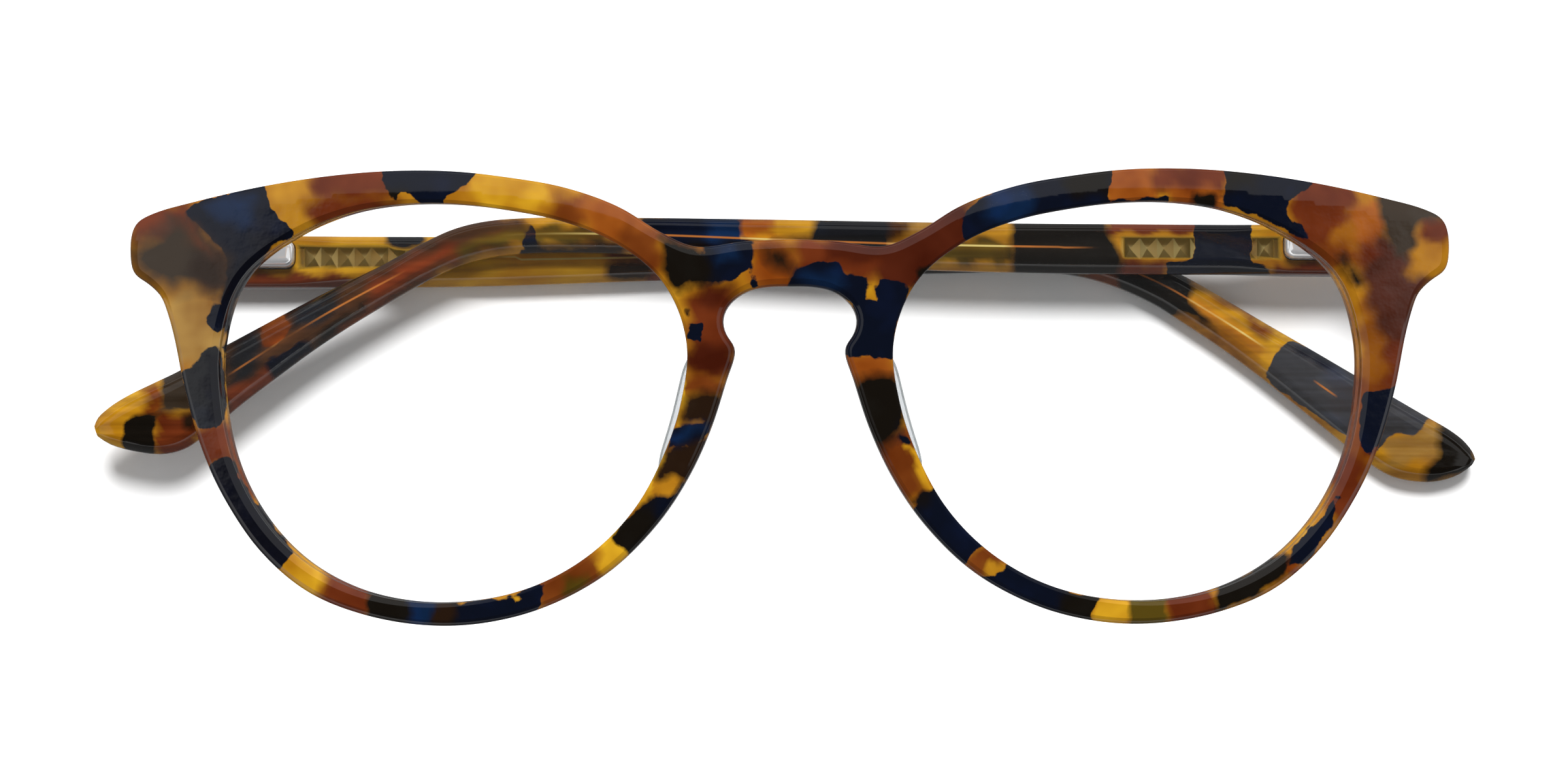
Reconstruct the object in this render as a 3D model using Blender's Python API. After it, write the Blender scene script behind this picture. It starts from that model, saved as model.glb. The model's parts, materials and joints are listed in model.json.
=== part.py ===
"""Folded acetate eyeglasses: keyhole-bridge front, two wire-core temples on sprung hinges.

Design tables are in millimetres; the scene is in metres, +Z up.
The glasses lie folded on their temples: the wearer's right temple is undermost,
its flat outer face on Z = 0, and the wearer's left temple lies on top of it.
The front faces +Z and the brow is towards +Y.
"""
import bpy
import bmesh
import math
from mathutils import Vector, Matrix, geometry

MM = 0.001

# ---------------------------------------------------------------- dimensions
LENS_CENTRE_X = 34.0      # centre of each lens opening, from the middle of the bridge
FRONT_T = 3.9             # acetate thickness of the front
FRONT_R = 430.0           # radius of the front's wrap curve
FRONT_BEVEL = 0.75        # bevel round the outside of the front face
RIM_BEVEL = 0.35          # bevel round each lens opening
BACK_BEVEL = 0.4
GROOVE_DEPTH = 0.55       # lens groove in the middle of the rim
GROOVE_HALF = 0.6
LENS_T = 1.1
LENS_BULGE = 1.2

HINGE_X = 62.4            # hinge axis, from the middle of the bridge
HINGE_Y_RIGHT = 15.85      # wearer's right hinge, height of its middle
HINGE_Y_LEFT = 16.4
HINGE_BACK = 4.3          # axis behind the back face of the end piece
PANTO = math.radians(6.0)     # tilt of the hinge axes, so the open temples slope down
REST_TILT = math.atan(0.03)   # the right temple is this far short of square, the left this far past it
AXIS_TO_TEMPLE = 1.75     # inner face of the temple below the hinge axis when folded
TEMPLE_T = 3.5
BUTT_GAP = 0.3

BARREL_R = 1.25
SCREW_R = 0.6
RUN = 0.05                # running clearance of the screw in the slider's eye
EYE_HALF = 0.72
LUG_IN = 0.78
LUG_OUT = 1.85

CASE_START = 1.95         # sprung case, distances along the temple from the hinge axis
CASE_END = 10.5
CASE_HALF = 1.45
CASE_TOP = 1.95
CASE_BOTTOM = -0.75
STEM_N = 0.75             # stem's height over the temple's inner face
STEM_R = 0.45
BORE_R = 0.88
PITCH = 1.76              # pitch of the pyramids stamped in the core wire
PYRAMIDS = 12

# half outline of the front, from the top of the bridge round to the keyhole
FRONT_HALF = [
    (0, 16.7), (4.8, 16.45), (9.65, 15.95), (13.15, 17.4), (17.7, 20.15), (23.2, 22.1),
    (29.0, 23.15), (34.8, 23.8), (41.6, 23.85), (48.3, 23.3), (55.1, 22.25), (61.5, 20.85),
    (65.6, 19.75), (67.5, 18.75), (68.1, 17.3), (68.1, 14.4), (67.75, 13.4), (66.3, 12.4),
    (64.95, 11.1), (64.35, 9.65), (63.6, 6.95), (62.4, 1.05), (60.6, -4.95), (58.35, -9.8),
    (54.6, -15.2), (49.75, -19.3), (43.95, -21.65), (37.4, -22.75), (31.4, -22.5),
    (25.1, -20.85), (18.8, -17.4), (13.85, -12.6), (10.6, -7.85), (8.25, -2.9),
    (6.6, 2.1), (5.65, 5.5), (6.6, 7.0), (6.9, 8.5), (6.2, 10.05), (4.35, 11.35),
    (2.2, 11.8), (0, 11.85),
]

# radius of the lens opening every 15 degrees, from the temple side over the top to the nose
OPENING = [
    24.65, 25.55, 25.85, 24.2, 22.55, 21.15, 20.4, 20.45, 21.45, 23.0, 24.35, 24.2,
    22.8, 21.65, 21.05, 20.6, 20.3, 20.2, 20.4, 21.0, 21.9, 22.8, 23.5, 24.1,
]

# temple stations: upper edge (along, up), lower edge (along, up)
TEMPLE_RIGHT = [
    ((-8, 2.05), (-8, -3.35)), ((0, 2.05), (0, -3.33)), ((12, 2.05), (12.4, -3.3)),
    ((28.8, 2.03), (28.8, -3.15)), ((37.5, 2.03), (37.5, -2.88)), ((47.4, 2.05), (47.4, -2.53)),
    ((65, 2.13), (65, -2.05)), ((80, 2.17), (80, -1.67)), ((90.5, 2.05), (88.6, -1.55)),
    ((94.6, 1.55), (93, -1.97)), ((98.8, 0.4), (97.2, -3.17)), ((103.3, -1.55), (101.4, -5.12)),
    ((105.9, -2.9), (103.6, -6.55)), ((109.7, -5.11), (107.3, -9)),
    ((113.8, -7.55), (111.2, -11.85)), ((118, -9.98), (115, -14.85)),
    ((122.1, -12.41), (118.8, -17.95)), ((126.4, -14.91), (122.8, -21.15)),
    ((129.7, -16.85), (126, -23.2)), ((132.2, -18.3), (129.3, -23.84)),
    ((133.8, -19.55), (131.5, -23.65)), ((134.65, -20.75), (133.4, -22.95)),
    ((134.85, -21.45), (134.5, -22.1)),
]
TEMPLE_LEFT = [
    ((-8, 2.3), (-8, -2.95)), ((0, 2.3), (0, -2.93)), ((14.7, 2.33), (14.7, -2.84)),
    ((25.8, 2.39), (25.8, -2.78)), ((36.1, 2.44), (36.1, -2.68)), ((50, 2.6), (50, -2.3)),
    ((65, 2.85), (65, -1.55)), ((78, 3), (78, -0.75)), ((89, 3), (88, -0.62)),
    ((94.2, 2.6), (92.4, -0.88)), ((97.6, 1.75), (96.1, -1.7)), ((101, 0.15), (99.3, -3.05)),
    ((105.2, -2.1), (103.2, -5.2)), ((111.1, -4.95), (109.1, -8.85)),
    ((115, -7.02), (112.6, -11.25)), ((118.8, -9.08), (116.1, -13.89)),
    ((122.6, -11.15), (119.6, -16.6)), ((126.3, -13.2), (123, -19.5)),
    ((129, -14.5), (125.3, -21.15)), ((131.4, -15.7), (127.6, -21.75)),
    ((133.2, -16.85), (130.6, -21.45)), ((134.4, -18), (133.2, -20.7)),
    ((134.75, -18.9), (134.4, -19.95)),
]

# ------------------------------------------------------------------ clean up
for old in list(bpy.data.objects):
    bpy.data.objects.remove(old, do_unlink=True)


# ------------------------------------------------------------------ materials
def material(name, colour, roughness, metallic=0.0, alpha=1.0, transmission=0.0):
    m = bpy.data.materials.new(name)
    m.use_nodes = True
    s = m.node_tree.nodes["Principled BSDF"]
    s.inputs["Base Color"].default_value = (*colour, 1.0)
    s.inputs["Roughness"].default_value = roughness
    s.inputs["Metallic"].default_value = metallic
    s.inputs["Alpha"].default_value = alpha
    s.inputs["Transmission Weight"].default_value = transmission
    m.diffuse_color = (*colour, 1.0)
    return m


ACETATE = material("tortoiseshell_acetate", (0.30, 0.13, 0.03), 0.15)
CHROME = material("polished_metal", (0.80, 0.80, 0.81), 0.08, metallic=1.0)
STEEL = material("spring_steel", (0.55, 0.55, 0.56), 0.25, metallic=1.0)
WIRE = material("nickel_silver", (0.72, 0.66, 0.52), 0.22, metallic=1.0)
CLEAR = material("clear_acetate", (0.85, 0.88, 0.88), 0.08, transmission=0.8)
LENS = material("clear_lens", (0.92, 0.95, 0.95), 0.03, transmission=0.95)


# ------------------------------------------------------------------ helpers
def catmull(p0, p1, p2, p3, t):
    """Centripetal Catmull-Rom point between p1 and p2."""
    def knot(a, b):
        return max(math.dist(a, b), 1e-9) ** 0.5
    t1 = knot(p0, p1)
    t2 = t1 + knot(p1, p2)
    t3 = t2 + knot(p2, p3)
    x = t1 + (t2 - t1) * t

    def mix(a, b, ta, tb):
        w = (x - ta) / (tb - ta)
        return [ai + (bi - ai) * w for ai, bi in zip(a, b)]
    a1, a2, a3 = mix(p0, p1, 0, t1), mix(p1, p2, t1, t2), mix(p2, p3, t2, t3)
    b1 = [ai + (bi - ai) * (x / t2) for ai, bi in zip(a1, a2)]
    b2 = [ai + (bi - ai) * ((x - t1) / (t3 - t1)) for ai, bi in zip(a2, a3)]
    w = (x - t1) / (t2 - t1)
    return [ai + (bi - ai) * w for ai, bi in zip(b1, b2)]


def curve(points, closed, steps):
    """A smooth curve through the points, steps samples per span."""
    n = len(points)
    out = []
    for i in range(n if closed else n - 1):
        if closed:
            q = [points[(i + k - 1) % n] for k in range(4)]
        else:
            a, b = points[i], points[i + 1]
            before = points[i - 1] if i else [2 * x - y for x, y in zip(a, b)]
            after = points[i + 2] if i + 2 < n else [2 * y - x for x, y in zip(a, b)]
            q = [before, a, b, after]
        for s in range(steps):
            out.append(catmull(*q, s / steps))
    if not closed:
        out.append(list(points[-1]))
    return out


def thin(points, tolerance, longest):
    """Fewer points on a closed line: a point goes where the line stays within tolerance."""
    keep, i, n = [0], 0, len(points)
    while i < n:
        j = i + 1
        while j + 1 <= n:
            a, b = Vector(points[i]), Vector(points[(j + 1) % n])
            d = b - a
            if d.length > longest or d.length < 1e-9:
                break
            off = max(
                abs(d.cross(Vector(points[k % n]) - a)) / d.length for k in range(i + 1, j + 1)
            )
            if off > tolerance:
                break
            j += 1
        if j >= n:
            break
        keep.append(j)
        i = j
    return [points[k] for k in keep]


def inset(loop, d):
    """A counter-clockwise closed line moved inwards by d."""
    n, out = len(loop), []
    for i in range(n):
        a, b, c = (Vector(loop[(i + k) % n]) for k in (-1, 0, 1))
        e, f = (b - a).normalized(), (c - b).normalized()
        m = Vector((-e.y - f.y, e.x + f.x)).normalized()
        out.append(tuple(b + m * (d / max(0.6, m.dot(Vector((-e.y, e.x)))))))
    return out


def front_outline():
    half = curve(FRONT_HALF, False, 12)
    full = half + [(-x, y) for x, y in reversed(half[1:-1])]
    full.reverse()          # counter-clockwise
    return [tuple(p) for p in full]


def opening(side, count, grow=0.0):
    """The lens opening, counter-clockwise, as count points; side is +1 for the wearer's left."""
    radii = [[r] for r in OPENING]
    out = []
    for i in range(count):
        a = 24.0 * i / count
        k = int(a) % 24
        r = catmull_even(*[radii[(k + j - 1) % 24][0] for j in range(4)], a - int(a))
        t = math.radians(15.0 * a)
        out.append((side * LENS_CENTRE_X + side * (r + grow) * math.cos(t), (r + grow) * math.sin(t)))
    if side < 0:
        out.reverse()
    return out


def catmull_even(a, b, c, d, t):
    return b + 0.5 * t * (c - a + t * (2 * a - 5 * b + 4 * c - d + t * (3 * (b - c) + d - a)))


def sheet(u, v, w):
    """A point w behind the wrapped front face."""
    t = math.atan(u / FRONT_R)
    return Vector((u - w * math.sin(t), v, -u * u / (2 * FRONT_R) - w * math.cos(t)))


def make(name, verts, faces, mat, parent=None, smooth=35):
    mesh = bpy.data.meshes.new(name)
    mesh.from_pydata([Vector(v) * MM for v in verts], [], faces)
    bm = bmesh.new()
    bm.from_mesh(mesh)
    bmesh.ops.recalc_face_normals(bm, faces=bm.faces)
    bm.to_mesh(mesh)
    bm.free()
    mesh.materials.append(mat)
    ob = bpy.data.objects.new(name, mesh)
    bpy.context.scene.collection.objects.link(ob)
    if smooth:
        mesh.shade_smooth()
        mesh.set_sharp_from_angle(angle=math.radians(smooth))
    if parent:
        ob.parent = parent
    return ob


def loft(rings, close_start=True, close_end=True):
    """Faces joining rings of equal length; returns (verts, faces)."""
    verts, faces, n = [], [], len(rings[0])
    for r in rings:
        verts += r
    for k in range(len(rings) - 1):
        for i in range(n):
            j = (i + 1) % n
            faces.append((k * n + i, k * n + j, (k + 1) * n + j, (k + 1) * n + i))
    if close_start:
        faces.append(tuple(range(n))[::-1])
    if close_end:
        faces.append(tuple(range((len(rings) - 1) * n, len(rings) * n)))
    return verts, faces


def circle(r, count, phase=0.0):
    return [
        (r * math.cos(2 * math.pi * (i + phase) / count), r * math.sin(2 * math.pi * (i + phase) / count))
        for i in range(count)
    ]


def box(name, lo, hi, mat, parent):
    (a, b, c), (d, e, f) = lo, hi
    v = [(a, b, c), (d, b, c), (d, e, c), (a, e, c), (a, b, f), (d, b, f), (d, e, f), (a, e, f)]
    faces = [(0, 3, 2, 1), (4, 5, 6, 7), (0, 1, 5, 4), (1, 2, 6, 5), (2, 3, 7, 6), (3, 0, 4, 7)]
    return make(name, v, faces, mat, parent, smooth=0)


def rod(name, axis, centre, r, lo, hi, count, mat, parent, phase=0.0):
    """A cylinder along local axis 0, 1 or 2, its centre line through centre."""
    rings = []
    for at in (lo, hi):
        ring = []
        for p, q in circle(r, count, phase):
            pt = [p, q]
            pt.insert(axis, at)
            off = list(centre)
            off[axis] = 0
            ring.append(tuple(x + y for x, y in zip(pt, off)))
        rings.append(ring)
    return make(name, *loft(rings), mat, parent)


def combine(target, other, operation):
    """Join or cut with another solid, then drop that solid."""
    m = target.modifiers.new(operation.lower(), "BOOLEAN")
    m.operation = operation
    m.solver = "EXACT"
    m.object = other
    bpy.context.view_layer.update()
    graph = bpy.context.evaluated_depsgraph_get()
    mesh = bpy.data.meshes.new_from_object(target.evaluated_get(graph), depsgraph=graph)
    mesh.name = target.name
    target.modifiers.clear()
    old = target.data
    target.data = mesh
    bpy.data.meshes.remove(old)
    bpy.data.objects.remove(other, do_unlink=True)
    mesh.shade_smooth()
    mesh.set_sharp_from_angle(angle=math.radians(35))
    return target


def inside(p, loop):
    x, y = p
    odd = False
    for i in range(len(loop)):
        (ax, ay), (bx, by) = loop[i - 1], loop[i]
        if (ay > y) != (by > y) and x < (bx - ax) * (y - ay) / (by - ay) + ax:
            odd = not odd
    return odd


def plate(outer, holes):
    """Triangles filling a flat outline with holes, as triples into outer + holes."""
    pts = [Vector(p) for p in outer]
    edges, n = [(i, (i + 1) % len(outer)) for i in range(len(outer))], len(outer)
    for h in holes:
        edges += [(n + i, n + (i + 1) % len(h)) for i in range(len(h))]
        pts += [Vector(p) for p in h]
        n += len(h)
    got = geometry.delaunay_2d_cdt(pts, edges, [], 0, 1e-7)
    back = {i: o[0] for i, o in enumerate(got[3]) if o}
    out = []
    for f in got[2]:
        c = sum((got[0][i] for i in f), Vector((0, 0))) / len(f)
        if inside(c, outer) and not any(inside(c, h) for h in holes):
            out.append(tuple(back[i] for i in f))
    return out


# ------------------------------------------------------------------ placing
AXIS = Vector((0, math.cos(PANTO), -math.sin(PANTO)))       # both hinge axes, towards the brow
FORE = Vector((0, math.sin(PANTO), math.cos(PANTO)))        # square to the axis, towards the front
SIDE = Vector((1, 0, 0))
ALONG = SIDE * math.cos(REST_TILT) - FORE * math.sin(REST_TILT)   # runs along both folded temples
UPWARD = ALONG.cross(AXIS)                                  # from the temples to the front


def hinge_point(side):
    x = side * HINGE_X
    t = math.atan(x / FRONT_R)
    z = -x * x / (2 * FRONT_R) - FRONT_T / math.cos(t)
    return Vector((x, HINGE_Y_LEFT if side > 0 else HINGE_Y_RIGHT, z - HINGE_BACK))


def frame_matrix(x, y, z, origin):
    m = Matrix((x, y, z)).transposed().to_4x4()
    m.translation = origin * MM
    return m


def empty(name, matrix, parent):
    e = bpy.data.objects.new(name, None)
    e.empty_display_size = 0.005
    bpy.context.scene.collection.objects.link(e)
    e.parent = parent
    e.matrix_local = matrix
    return e


# the whole object: the folded temples' plane becomes level
LEVEL = Matrix((ALONG, AXIS, UPWARD)).to_4x4()
SHIFT = Vector((-0.38, -0.932, 0.0))     # middle of the outline on the origin
low = UPWARD.dot(hinge_point(-1)) - AXIS_TO_TEMPLE - TEMPLE_T
LEVEL.translation = (Vector((0.0, 0.0, -low)) + SHIFT) * MM
glasses = bpy.data.objects.new("glasses", None)
bpy.context.scene.collection.objects.link(glasses)
glasses.matrix_world = LEVEL

# ------------------------------------------------------------------ front
outline = thin(front_outline(), 0.045, 4.5)
HOLE_POINTS = 48


def front_mesh():
    verts, faces, loops = [], [], {}

    def ring(key, loop, w):
        loops[key] = list(range(len(verts), len(verts) + len(loop)))
        verts.extend(sheet(u, v, w) for u, v in loop)

    def band(a, b):
        a, b, n = loops[a], loops[b], len(loops[a])
        for i in range(n):
            j = (i + 1) % n
            faces.append((a[i], a[j], b[j], b[i]))
    steps = [
        ("o0", FRONT_BEVEL, 0.0), ("o1", 0.25, 0.22), ("o2", 0.0, 0.7),
        ("o3", 0.0, FRONT_T - BACK_BEVEL), ("o4", BACK_BEVEL, FRONT_T),
    ]
    flat = {}
    for key, d, w in steps:
        flat[key] = inset(outline, d) if d else outline
        ring(key, flat[key], w)
    for a, b in zip(steps, steps[1:]):
        band(a[0], b[0])
    mid = FRONT_T / 2
    hole_steps = [
        (RIM_BEVEL, 0.0), (0.0, 0.35), (0.0, mid - GROOVE_HALF), (GROOVE_DEPTH, mid),
        (0.0, mid + GROOVE_HALF), (0.0, FRONT_T - 0.3), (0.3, FRONT_T),
    ]
    for side in (-1, 1):
        for k, (d, w) in enumerate(hole_steps):
            key = (side, k)
            flat[key] = opening(side, HOLE_POINTS, d)
            ring(key, flat[key], w)
        for k in range(len(hole_steps) - 1):
            band((side, k), (side, k + 1))
    last = len(hole_steps) - 1
    for o, k in (("o0", 0), ("o4", last)):
        index = loops[o] + loops[(-1, k)] + loops[(1, k)]
        for tri in plate(flat[o], [flat[(-1, k)], flat[(1, k)]]):
            faces.append(tuple(index[i] for i in tri))
    return verts, faces


front = make("front_frame", *front_mesh(), ACETATE, glasses)

# ------------------------------------------------------------------ lenses
RINGS = (0.0, 0.45, 0.78, 1.0)


def lens(name, side):
    verts, faces = [], []
    n = HOLE_POINTS
    edge = opening(side, n, -0.1)
    tip = opening(side, n, GROOVE_DEPTH - 0.12)
    c = Vector((side * LENS_CENTRE_X, 0))
    mid = FRONT_T / 2

    def dome(f):
        return LENS_BULGE * (1 - f * f)
    for w0 in (mid - LENS_T / 2, mid + LENS_T / 2):
        verts.append(sheet(c.x, c.y, w0 - dome(0)))
        for f in RINGS[1:]:
            verts += [sheet(*(c + (Vector(p) - c) * f), w0 - dome(f)) for p in edge]
    verts += [sheet(*p, mid) for p in tip]
    per = 1 + (len(RINGS) - 1) * n
    for k in range(2):
        b = k * per
        for i in range(n):
            j = (i + 1) % n
            faces.append((b, b + 1 + i, b + 1 + j))
            for r in range(len(RINGS) - 2):
                p, q = b + 1 + r * n, b + 1 + (r + 1) * n
                faces.append((p + i, q + i, q + j, p + j))
    e0, e1, t = 1 + (len(RINGS) - 2) * n, per + 1 + (len(RINGS) - 2) * n, 2 * per
    for i in range(n):
        j = (i + 1) % n
        faces += [(e0 + i, t + i, t + j, e0 + j), (t + i, e1 + i, e1 + j, t + j)]
    return make(name, verts, faces, LENS, glasses)


lens("lens_left", 1)
lens("lens_right", -1)


# ------------------------------------------------------------------ nose pads
def nose_pad(name, side):
    """A clear pad fixed on the back of the nose side of the rim, splayed outwards behind."""
    spine = [(8.5, 5.3), (8.85, 3.0), (9.55, -0.2), (10.4, -3.3), (11.35, -6.2), (12.1, -8.3)]
    mids = curve(spine, False, 3)
    n, rings = len(mids), []
    layers = [(3.95, 0.45, -0.05), (4.5, 0.12, 0.15), (5.5, 0.0, 0.62), (6.2, 0.5, 0.9), (6.5, 1.1, 1.0)]
    for w, narrow, splay in layers:
        left, right = [], []
        for i, p in enumerate(mids):
            a, b = Vector(mids[max(i - 1, 0)]), Vector(mids[min(i + 1, n - 1)])
            d = (b - a).normalized()
            nrm = Vector((-d.y, d.x))        # towards the lens
            f = i / (n - 1)
            half = 1.9 * math.sqrt(max(0.0, 1 - (2 * f - 1) ** 6)) * (1 - narrow / 2.0)
            half = max(half, 0.25)
            q = Vector(p) + Vector((0, (0.5 - f) * -2 * narrow * 0.35))
            s = Vector((splay, 0))
            left.append(q + nrm * half + s)
            right.append(q - nrm * half * (1 - 0.4 * f * f) + s)
        ring = left + right[::-1]
        rings.append([sheet(side * p.x, p.y, w) for p in ring])
    return make(name, *loft(rings), CLEAR, glasses)


nose_pad("nose_pad_left", 1)
nose_pad("nose_pad_right", -1)


# ------------------------------------------------------------------ temples
def stations(table, steps):
    """(upper, lower) edge points along the temple."""
    up = curve([s[0] for s in table], False, steps)
    lo = curve([s[1] for s in table], False, steps)
    return [(Vector(a), Vector(b)) for a, b in zip(up, lo)]


def pick(rows, wanted):
    """Rows of the smooth stations whose spacing suits the bend."""
    out, last = [rows[0]], rows[0]
    for r in rows[1:-1]:
        mid, was = (r[0] + r[1]) / 2, (last[0] + last[1]) / 2
        if (mid - was).length >= wanted((r[0] - r[1]).length, mid.x):
            out.append(r)
            last = r
    return out + [rows[-1]]


def temple_rings(table, mirror):
    rows = pick(
        stations(table, 8),
        lambda h, s: 9.0 if s < 12 else 6.0 if s < 70 else 3.0 if s < 124 else 1.1,
    )
    rings = []
    for up, lo in rows:
        mid, half = (up + lo) / 2, (up - lo).length / 2
        d = (up - lo).normalized()
        s = mid.x
        fit = min(1.0, half / 2.1)
        grow = min(max((s - 10) / 6, 0), 1)
        paddle = min(max((s - 98) / 12, 0), 1)
        top = (0.45 + 0.4 * grow + 0.6 * paddle) * fit           # facets on the long edges
        low = (0.45 + 0.9 * grow) * fit
        end = min(1.0, 0.45 + 0.55 * half / 2.0)                 # the tip thins a little
        c, t = -TEMPLE_T / 2, TEMPLE_T / 2 * end

        def facet(w, sign_a, sign_b):
            cut = [(w, 0.0), (0.58 * w, 0.235 * w), (0.0, 1.03 * w)]
            return [(sign_a * (half - a), sign_b * (t - b)) for a, b in cut]
        prof = facet(top, 1, 1) + facet(low, 1, -1)[::-1] + facet(low, -1, -1) + facet(low, -1, 1)[::-1]
        ring = []
        for a, b in prof:
            q = mid + d * a
            ring.append((mirror * q.x, q.y, c + b))
        rings.append(ring)
    return rings


def core_path(table):
    rows = stations(table, 8)
    start, stop = 11.0, 124.5
    out = []
    for up, lo in rows:
        mid = (up + lo) / 2
        if mid.x < 36 or mid.x > stop:
            continue
        if not out or (mid - out[-1]).length > (12.0 if mid.x < 72 else 5.0):
            out.append(mid)
    return out


BAR_Y = -0.2
BAR_N = -1.72


def eight(w, t, square):
    """Eight points round the wire: a bar of width w and thickness t, or a rod of radius w."""
    if square:
        return [(-w, t), (0, t), (w, t), (w, 0), (w, -t), (0, -t), (-w, -t), (-w, 0)]
    return [(w * math.cos(math.radians(a)), w * math.sin(math.radians(a))) for a in (135, 90, 45, 0, -45, -90, -135, 180)]


def core_rings(table, mirror, grow, bar_t):
    """Rings of the core wire: flat bar, a short neck, then a rod to near the tip."""
    first = 8.6
    last = 11.4 + PITCH * PYRAMIDS
    rings = []

    def ring(p, d, shape):
        up = Vector((-d.y, d.x))
        out = []
        for a, b in shape:
            q = p + up * a
            out.append((mirror * q.x, q.y, BAR_N + b))
        rings.append(out)
    east = Vector((1, 0))
    ring(Vector((first - grow, BAR_Y)), east, eight(1.0 + grow, 0.45 + grow, True))
    ring(Vector((11.4 - grow, BAR_Y)), east, eight(1.0 + grow, 0.45 + grow, True))
    if bar_t is None:
        for k in range(PYRAMIDS + 1):
            ring(Vector((11.4 + PITCH * k + (0.001 if k == 0 else 0), BAR_Y)), east, eight(1.2, 0.42, True))
    else:
        ring(Vector((11.401 - grow, BAR_Y)), east, eight(1.2 + grow, bar_t, True))
        ring(Vector((last + grow, BAR_Y)), east, eight(1.2 + grow, bar_t, True))
    path = core_path(table)
    ring(Vector((last + 0.4 + grow, BAR_Y)), east, eight(0.6 + grow, 0.42 + grow, True))
    pts = [Vector((last + 0.4, BAR_Y))] + path
    for i in range(1, len(pts)):
        a, b = pts[i - 1], pts[min(i + 1, len(pts) - 1)]
        p = pts[i]
        if i == len(pts) - 1:
            p = p + (p - pts[i - 1]).normalized() * grow
        ring(p, (b - a).normalized(), eight(0.6 + grow, 0, False))
    return rings


def core_wire(name, table, mirror, parent):
    rings = core_rings(table, mirror, 0.0, None)
    verts, faces = [], []
    n = 8
    for r in rings:
        verts += r
    for k in range(len(rings) - 1):
        a, b = k * n, (k + 1) * n
        stamped = 2 <= k < 2 + PYRAMIDS
        for i in range(n):
            j = (i + 1) % n
            if stamped and i in (0, 1, 4, 5):
                continue
            faces.append((a + i, a + j, b + j, b + i))
        if stamped:
            s = mirror * (11.4 + PITCH * (k - 2 + 0.62))
            for trio, n_at in (((0, 1, 2), BAR_N + 0.78), ((4, 5, 6), BAR_N - 0.78)):
                top = len(verts)
                verts.append((s, BAR_Y, n_at))
                p = [a + t for t in trio] + [b + t for t in reversed(trio)]
                for x, y in zip(p, p[1:] + p[:1]):
                    faces.append((x, y, top))
    faces.append(tuple(range(n))[::-1])
    faces.append(tuple(range((len(rings) - 1) * n, len(rings) * n)))
    return make(name, verts, faces, WIRE, parent, smooth=20)


def temple(name, table, mirror, parent):
    ob = make(name, *loft(temple_rings(table, mirror)), ACETATE, parent)
    # the butt follows the sloping back of the end piece when the temple is open
    s1, s2 = butt(AXIS_TO_TEMPLE), butt(AXIS_TO_TEMPLE + TEMPLE_T)
    slope = (s1 - s2) / TEMPLE_T
    v = []
    for y in (-8.0, 8.0):
        for n in (3.0, -8.0):
            v += [(mirror * (s1 + slope * n - y * math.tan(PANTO)), y, n), (mirror * -20.0, y, n)]
    f = [(0, 1, 3, 2), (4, 6, 7, 5), (0, 4, 5, 1), (2, 3, 7, 6), (0, 2, 6, 4), (1, 5, 7, 3)]
    combine(ob, make(name + "_butt_cut", v, f, ACETATE, parent), "DIFFERENCE")
    # seat for the sprung case, and the channel that holds the wire
    g = 0.1
    m = sorted((mirror * (CASE_START - g), mirror * (CASE_END + g)))
    seat = box(name + "_seat", (m[0], -CASE_HALF - g, CASE_BOTTOM - g), (m[1], CASE_HALF + g, 3.0), ACETATE, parent)
    combine(ob, seat, "DIFFERENCE")
    channel = make(name + "_channel", *loft(core_rings(table, mirror, 0.08, 0.9)), ACETATE, parent)
    combine(ob, channel, "DIFFERENCE")
    m = sorted((mirror * 8.52, mirror * 10.5))
    well = box(name + "_well", (m[0], BAR_Y - 1.08, BAR_N), (m[1], BAR_Y + 1.08, CASE_BOTTOM), ACETATE, parent)
    return combine(ob, well, "DIFFERENCE")


def butt(n):
    """Where the butt ends, along the temple, at n outside the hinge axis when the temple is open."""
    x = HINGE_X + n
    back = -x * x / (2 * FRONT_R) - FRONT_T / math.cos(x / FRONT_R)
    return -((back - hinge_point(1).z) / math.cos(PANTO) - BUTT_GAP)


def sprung_case(name, mirror, parent):
    """Rounded metal case with a blind bore for the spring and a small hole for the stem."""
    def shape(d):
        pts = []
        for cx, cy, r, a0 in (
            (CASE_END, CASE_HALF, 0.95, 0), (CASE_START, CASE_HALF, 0.2, 90),
            (CASE_START, -CASE_HALF, 0.2, 180), (CASE_END, -CASE_HALF, 0.95, 270),
        ):
            sx, sy = (1 if a0 in (0, 270) else -1), (1 if a0 in (0, 90) else -1)
            for k in range(5 if r > 0.5 else 2):
                a = math.radians(a0 + 90.0 * k / (4 if r > 0.5 else 1))
                rr = max(r - d, 0.05)
                x = cx - sx * max(r, d + 0.05) + rr * math.cos(a)
                y = cy - sy * max(r, d + 0.05) + rr * math.sin(a)
                pts.append((x, y))
        return pts
    rings = []
    for n, d in ((CASE_BOTTOM, 0.0), (1.05, 0.0), (1.55, 0.2), (1.82, 0.55), (CASE_TOP, 1.0)):
        rings.append([(mirror * x, y, n) for x, y in shape(d)])
    ob = make(name, *loft(rings), CHROME, parent)
    m = sorted((mirror * (CASE_START + 0.8), mirror * (CASE_END - 0.75)))
    bore = rod("bore", 0, (0, 0, STEM_N), BORE_R, m[0], m[1], 16, CHROME, parent)
    combine(ob, bore, "DIFFERENCE")
    m = sorted((mirror * (CASE_START - 1.0), mirror * (CASE_START + 1.2)))
    hole = rod("stem_hole", 0, (0, 0, STEM_N), STEM_R + 0.07, m[0], m[1], 16, CHROME, parent)
    return combine(ob, hole, "DIFFERENCE")


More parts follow.
